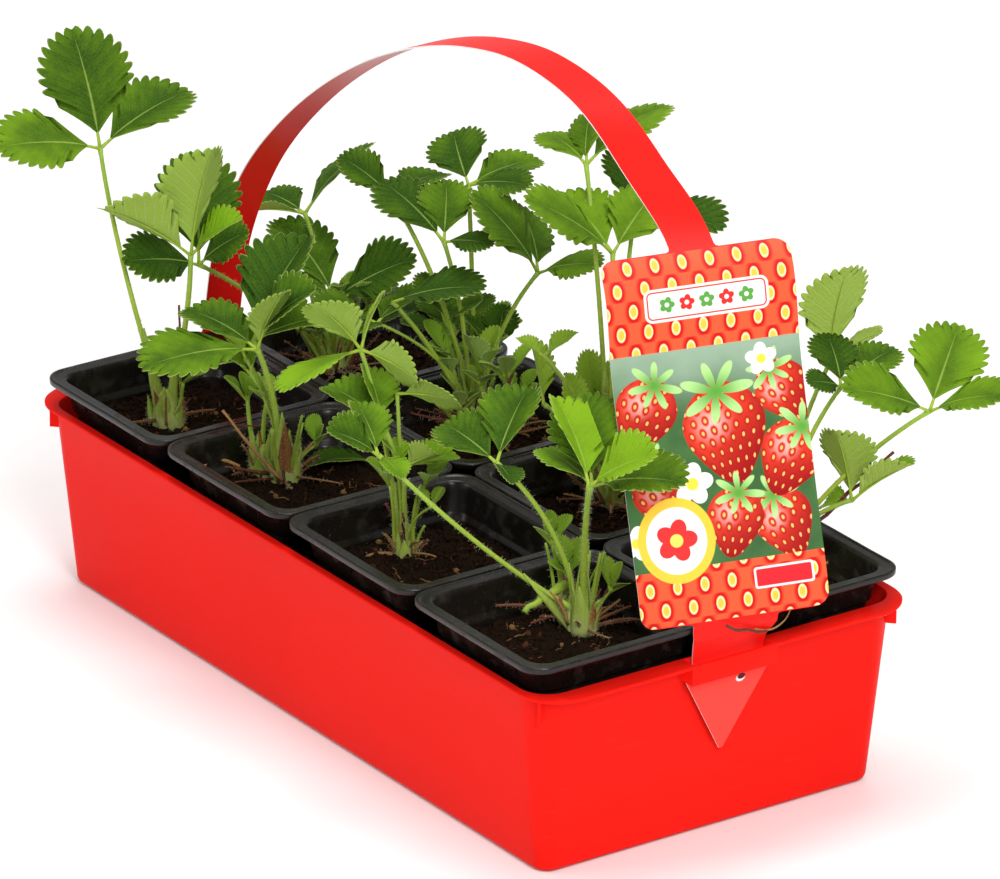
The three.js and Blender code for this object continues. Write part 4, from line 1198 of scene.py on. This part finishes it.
def cutWhite():
    tree = Tree("cutWhite", 0.4)
    return tree.finish(tree.mix(tree.noise(500, 2), *strip["cutEdge"]), 0.5)


def stripBack():
    tree = Tree("stripBack", 0.15)
    cloud = tree.noise(14, 3)
    # painted highlight: the back of the strap is made paler towards the top of the arch, where
    # light falls on it
    apexHighlight = tree.ease(tree.attribute("along"), 190, 330)
    color = tree.mix(cloud, *strip["backRed"])
    color = tree.mix(apexHighlight * 0.75, color, strip["backHighlight"])
    tree.bump(cloud, 0.0008, 0.4)
    return tree.finish(color, 0.3 + cloud * 0.1)


# The printed face: red all over, with the label's design on the panel. Shapes are distances,
# below zero inside, and each is laid over what is there so far.
def stripPrint(panelTop, panelBottom, shoulder):
    tree = Tree("stripPrint", 0.12)
    across, along = tree.attribute("across"), tree.attribute("along")
    down = along - panelTop
    tall = panelBottom - panelTop

    def inside(distance, edge=0.0, soft=0.22):
        return 1 - tree.ease(distance, edge - soft, edge + soft)

    def gap(x, y):
        return tree.math("SQRT", x * x + y * y)

    def bend(wave, angle):
        return tree.math("ABSOLUTE", tree.math(wave, angle))

    def alternate(count):
        return tree.math("MODULO", count, 2.0) * 0.5

    def repeat(value, pitch):
        return (tree.math("FRACT", value) - 0.5) * pitch

    def plate(x, y, halfX, halfY, radius):
        outX = tree.math("MAXIMUM", tree.math("ABSOLUTE", across - x) - (halfX - radius), 0.0)
        outY = tree.math("MAXIMUM", tree.math("ABSOLUTE", down - y) - (halfY - radius), 0.0)
        return gap(outX, outY) - radius

    def disc(x, y, radius, flatness=1.0):
        return gap(across - x, (down - y) * flatness) - radius

    def blossom(x, y, radius, turn):
        sideways, upward = across - x, down - y
        angle = tree.math("ARCTAN2", upward, sideways)
        lobe = bend("COSINE", angle * 2.5 + turn)
        return gap(sideways, upward) - (0.66 + 0.34 * lobe) * radius

    def seedField():
        wide, tall = label["seedWide"], label["seedTall"]
        row = tree.math("FLOOR", down / tall)
        x = repeat(across / wide + 20.0 + alternate(row), wide)
        y = repeat(down / tall + 20.0, tall)
        pip = gap(x, y * 0.62)
        ground = tree.mix(inside(pip, 3.1, 0.9), label["orange"], label["seedRed"])
        ground = tree.mix(inside(pip, 1.75, 0.2), ground, label["seedRim"])
        return tree.mix(inside(pip, 1.25, 0.3), ground, label["seedHeart"])

    def berry(field, x, y, size, turn):
        level, steep = math.cos(turn), math.sin(turn)
        u = (across - x) * level + (down - y) * steep
        v = (down - y) * level - (across - x) * steep
        slim = 1 - tree.ease(v, -size * 0.5, size * 1.3) * 0.42
        body = gap(u / slim, v * 0.86) - size
        row = tree.math("FLOOR", v / 4.6 + 20.0)
        pipX = repeat(u / slim / 4.8 + 20.0 + alternate(row), 4.8)
        pipY = repeat(v / 4.6 + 20.0, 4.6)
        seed = gap(pipX, pipY * 0.7)
        shade = tree.ease(u * 0.5 + v * 0.7, -size, size * 0.9)
        gloss = tree.ease(gap(u + size * 0.28, v + size * 0.3), size * 0.6, 0.0)
        skin = tree.mix(shade, *label["skin"])
        for share, color in ((tree.ease(body, -size * 0.3, 0.0) * 0.45, label["skinEdge"]),
                             (gloss * inside(seed * -1.0, -1.5, 0.4) * 0.75, label["gloss"]),
                             (inside(seed, 1.25, 0.45) * 0.6, label["pit"]),
                             (inside(seed, 0.62, 0.2), label["pip"])):
            skin = tree.mix(share, skin, color)
        field = tree.mix(inside(body), field, skin)
        spin = tree.math("ARCTAN2", v + size * 0.96, u)
        lobe = bend("COSINE", spin * 3.5 + turn) ** 1.6
        cap = gap(u, (v + size * 0.96) * 1.25)
        green = tree.mix(tree.ease(cap, 0.0, size * 0.8), *label["cap"])
        return tree.mix(inside(cap - lobe * (size * 0.72), size * 0.16, 0.5), field, green)

    leafy = tree.noise(60, 3)
    field = tree.mix(leafy, *label["leafage"])
    field = tree.mix(tree.ease(down + leafy * 20, 78, 44), field, label["haze"])
    for place in label["berries"]:
        field = berry(field, *place)
    for x, y, radius, turn in label["blossoms"]:
        field = tree.mix(inside(blossom(x, y, radius, turn)), field, label["petal"])
        field = tree.mix(inside(disc(x, y, radius * 0.3), 0.0, 0.5), field, label["pollen"])

    middle = tree.ease(down, 37.9, 38.3) * tree.ease(down, 123.3, 122.9)
    design = tree.mix(middle, seedField(), field)
    badge, name = disc(*label["badge"], 15.5, 0.92), plate(*label["plate"], 25, 6.5, 3.2)
    layers = [(inside(badge), label["badgeRim"]), (inside(badge, -3.4), label["badgeField"]),
              (inside(blossom(*label["badge"], 8.5, 0.1)), label["badgePetal"]),
              (inside(disc(*label["badge"], 2.6)), label["badgePollen"]),
              (inside(name), label["cream"]),
              (inside(name, -1.0, 0.15) - inside(name, -1.6, 0.15), label["plateLine"])]
    for k in range(label["motifs"]):
        place = (label["motifStart"] + label["motifPitch"] * k, label["plate"][1])
        petals = label["motifRed" if k % 2 else "motifGreen"]
        layers += [(inside(blossom(*place, 3.2, 0.3 * k)), petals),
                   (inside(disc(*place, 0.9)), label["cream"])]
    layers += [(inside(plate(*label["smallPlate"], 12, 4.2, 1.2)), label["smallPlateRim"]),
               (inside(plate(*label["smallPlate"], 11.2, 3.4, 0.8)), label["smallPlateRed"])]
    for share, color in layers:
        design = tree.mix(share, design, color)

    cloud = tree.noise(18, 3)
    onLabel = tree.ease(down, 0.2, 0.5) * tree.ease(down, tall - 0.2, tall - 0.5)
    color = tree.mix(onLabel, tree.mix(cloud, *strip["red"]), design)
    # painted light: the stem below the panel and its arrow tip are made a lighter red, as where
    # light falls on them
    lit = tree.ease(down, tall + 20, tall + 30)
    color = tree.mix(lit * 0.3, color, strip["litRed"])
    # a tear is painted near the arrow tip: a pale crescent on the curled torn edge, partly the
    # sheet's white inside and partly painted highlight, and a dark spot of painted shade in the
    # hole
    tearX, tearY = strip["tearAcross"], shoulder + strip["tearBelowShoulder"]
    torn = gap((across - tearX) * 0.7, along - tearY)
    color = tree.mix(inside(torn, 1.5, 0.25), color, strip["tornEdge"])
    hole = gap((across - tearX - 0.4) * 0.7, along - tearY + 0.7)
    color = tree.mix(inside(hole, 1.3, 0.2), color, strip["tornHoleShade"])
    tree.bump(tree.noise(16, 2), 0.0010, 0.35)
    return tree.finish(color, 0.34 + cloud * 0.1)


# Points of the strip's middle line, each with how far the sheet is turned there, in degrees.
def stripRoute():
    endX = tray["length"] / 2 + strip["wallGap"]
    shoulder, tip = strip["arrowShoulder"], strip["arrowTip"]
    return [
        ((2.2 - endX, 0, tip), 0), ((-endX, 0, shoulder), 0), ((-endX, 0, 82), 0),
        ((-177.5, 0, 106), 0), ((-170.5, 0, 134.5), 0), ((-148, 0, 175.5), 0),
        ((-112, 0, 213.5), 0), ((-68, 0, 246), 0), ((-26, 0, 267.5), 0), ((14, 0, 280.5), 0),
        ((51.2, 0, 285.5), 2), ((88.7, 1.5, 278.8), 7), ((116.8, 4, 260.4), 14),
        ((144.5, 7.6, 234.8), 21.5), ((159.2, 4.8, 188.8), 21.5), ((173.8, 2, 142.8), 21.5),
        ((188.5, -0.9, 96.8), 21.5), ((186.4, 0, 90.5), 12), ((182.6, 0.8, 84), 3),
        ((endX, 1.2, 77.5), 0), ((endX, 1.2, shoulder), 0), ((endX - 2.2, -0.2, tip), 0),
    ]


# The half width at each distance along the strip.
def stripOutline(farShoulder, panelTop, panelBottom, nearShoulder, length):
    half, radius, strap, stem = (strip[key] for key in ("panelHalf", "panelRadius", "strapHalf",
                                                        "stemHalf"))
    arrow, steps = strip["arrowHalf"], 90

    def corner(start, direction):
        return [(start + direction * radius * (1 - math.cos(a)) + direction * 0.05,
                 half - radius * (1 - math.sin(a)))
                for a in (math.pi / 2 * k / 8 for k in range(9))]

    rest = nearShoulder - panelBottom
    return [
        (0.2, 0.8), (farShoulder - 0.5, arrow - 0.2), (farShoulder + 0.1, arrow - 0.6),
        (farShoulder + 0.5, stem), (farShoulder + 12, stem), (farShoulder + 22, strap + 0.6),
        *((farShoulder + 24 + (panelTop - 1.6 - farShoulder - 24) * k / steps, strap)
          for k in range(steps + 1)),
        (panelTop - 0.5, strap + 0.4), (panelTop, strap + 1.6), *corner(panelTop, 1),
        *((panelTop + (panelBottom - panelTop) * k / 24, half) for k in range(2, 23)),
        *corner(panelBottom, -1)[::-1],
        (panelBottom + 0.1, stem + 1.5), (panelBottom + 0.6, stem + 0.3),
        *((panelBottom + rest * k / 20, stem) for k in range(1, 20)),
        (nearShoulder - 0.3, stem), (nearShoulder + 0.3, arrow - 0.6),
        (nearShoulder + 0.9, arrow - 0.4), (length - 0.2, 0.8),
    ]


def makeStrip():
    route = stripRoute()
    perSpan, columns = 60, 10
    path = centripetal([Vector(p) for p, _ in route], perSpan)
    far = [0.0]
    for before, after in zip(path, path[1:]):
        far.append(far[-1] + (after - before).length)
    stops = [far[i * perSpan] for i in range(len(route))]

    def sample(distance):
        low = min(max(bisect.bisect_right(far, distance) - 1, 0), len(far) - 2)
        share = (distance - far[low]) / max(far[low + 1] - far[low], 1e-9)
        point = path[low].lerp(path[low + 1], share)
        along = (path[min(low + 2, len(path) - 1)] - path[max(low - 1, 0)]).normalized()
        span = min(low // perSpan, len(route) - 2)
        part = min(max((distance - stops[span]) / (stops[span + 1] - stops[span]), 0), 1)
        turn = math.radians(route[span][1] + (route[span + 1][1] - route[span][1]) * part)
        across = Vector((math.sin(turn), math.cos(turn), 0))
        across = (across - along * across.dot(along)).normalized()
        return point, across, along.cross(across)

    farShoulder, panelTop, panelBottom, nearShoulder = stops[1], stops[13], stops[16], stops[-2]
    outline = stripOutline(farShoulder, panelTop, panelBottom, nearShoulder, far[-1])
    alongs, acrosses, points = [], [], []
    _, level, _ = sample((panelTop + panelBottom) / 2)
    for layer in (0.5, -0.5):
        for distance, width in outline:
            centre, across, out = sample(distance)
            # the stiff panel stays flat across, and only the strap above it bends
            flat = min(max((distance - panelTop + 34) / 32, 0), 1)
            flat *= min(max((panelBottom + 9 - distance) / 8, 0), 1)
            forward = across.cross(out)
            across = across.lerp(level, flat * flat * (3 - 2 * flat)).normalized()
            out = forward.cross(across).normalized()
            for j in range(columns + 1):
                offset = width * (2 * j / columns - 1)
                points.append(centre + across * offset + out * (layer * strip["thickness"]))
                alongs.append(distance)
                acrosses.append(offset)
    last = len(outline) - 1

    def at(layer, k, j):
        return (layer * len(outline) + k) * (columns + 1) + j

    batch, faces, kinds = Batch(), [], []
    for k in range(last):
        for j in range(columns):
            faces.append((at(0, k, j), at(0, k, j + 1), at(0, k + 1, j + 1), at(0, k + 1, j)))
            faces.append((at(1, k, j), at(1, k + 1, j), at(1, k + 1, j + 1), at(1, k, j + 1)))
            kinds += [0, 1]
        faces.append((at(0, k, 0), at(0, k + 1, 0), at(1, k + 1, 0), at(1, k, 0)))
        faces.append((at(0, k, columns), at(1, k, columns), at(1, k + 1, columns),
                      at(0, k + 1, columns)))
        kinds += [2, 2]
    for j in range(columns):
        faces.append((at(0, 0, j), at(1, 0, j), at(1, 0, j + 1), at(0, 0, j + 1)))
        faces.append((at(0, last, j), at(0, last, j + 1), at(1, last, j + 1), at(1, last, j)))
        kinds += [2, 2]
    batch.add(points, faces, along=alongs, across=acrosses)
    batch.slots = kinds
    piece = batch.make("handle_strip_sheet",
                       [stripPrint(panelTop, panelBottom, nearShoulder), stripBack(), cutWhite()])
    smoothByAngle(piece, 35)
    hand(piece, "handle_strip")


# The floor, the lights and the camera that looks as the photograph does.
stage = {
    "floorHalf": 6000, "floorDrop": 0.5, "floor": ((0.90, 0.90, 0.90), (0.93, 0.93, 0.925)),
    "sky": 0.5, "aim": (0, 0, 0.1),
    # name, place in metres, size and power
    "lights": (("key", (1.7, -0.5, 1.4), 1.0, 32), ("fill", (-0.8, -1.8, 1.2), 1.2, 8.5),
               ("top", (-0.4, 0.3, 2.2), 1.2, 24)),
}
view = {"azimuth": 55.25, "elevation": 23.2, "roll": 0.37, "distance": 4000,
        "focalPixels": 9820, "widthPixels": 1000, "aim": (-18.7, 30.6, 91)}


def floorPale():
    tree = Tree("floorPale", 0.2)
    return tree.finish(tree.mix(tree.noise(3, 2), *stage["floor"]), 0.85)


def makeStage():
    size, batch = stage["floorHalf"], Batch()
    batch.add([Vector((x, y, -stage["floorDrop"]))
               for x, y in ((-size, -size), (size, -size), (size, size), (-size, size))],
              [(0, 1, 2, 3)])
    batch.make("floor", [floorPale()])

    world = bpy.data.worlds.new("studio")
    world.use_nodes = True
    background = world.node_tree.nodes["Background"]
    background.inputs["Color"].default_value = (1, 1, 1, 1)
    background.inputs["Strength"].default_value = stage["sky"]
    bpy.context.scene.world = world
    bpy.context.scene.view_settings.view_transform = "Standard"

    for name, place, size, power in stage["lights"]:
        light = bpy.data.lights.new(name, "AREA")
        light.shape = "DISK"
        light.size = size
        light.energy = power
        lamp = link(name, light)
        lamp.location = place
        aim = Vector(stage["aim"]) - Vector(place)
        lamp.rotation_euler = aim.to_track_quat("-Z", "Y").to_euler()


def makeCamera():
    azimuth, elevation, roll = (math.radians(view[key]) for key in ("azimuth", "elevation", "roll"))
    back = Vector((math.sin(azimuth) * math.cos(elevation),
                   -math.cos(azimuth) * math.cos(elevation), math.sin(elevation)))
    right = outward(azimuth)
    up = back.cross(right)
    level = right * math.cos(roll) + up * math.sin(roll)
    upright = up * math.cos(roll) - right * math.sin(roll)
    data = bpy.data.cameras.new("camera")
    data.sensor_width = 36
    data.lens = view["focalPixels"] / view["widthPixels"] * data.sensor_width
    data.clip_start = 0.1
    data.clip_end = 100
    camera = link("camera", data)
    turn = Matrix((level, upright, back)).transposed().to_4x4()
    turn.translation = (Vector(view["aim"]) + back * view["distance"]) * mm
    camera.matrix_world = turn
    bpy.context.scene.camera = camera


makeCamera()
makeStage()
print("camera and floor made")
makeTray()
print("tray made")
makeStrip()
print("strip made")
blackPlastic, peat = potBlack(), peatBrown()
for number, spot in enumerate(potPlaces()):
    makePot(number, spot, blackPlastic)
    makeSoil(number, spot, peat)
print("pots and soil made")
plantLooks = {
    "leaf": leafGreen("leafGreen", foliage["leaf"]),
    "young": leafGreen("leafYoung", foliage["young"]),
    "stem": stemGreen(), "sheath": sheathGreen(), "dead": deadBrown(), "hair": hairWhite(),
}
hairShape = unitShape("hairShape", 3, ((0, 0.036), (0.55, 0.026), (1.0, 0.004)))
for number, plant in enumerate(plants):
    makePlant(number, plant, plantLooks, hairShape)
makeFallen(plantLooks)
bpy.data.objects.remove(hairShape)
print("plants made")
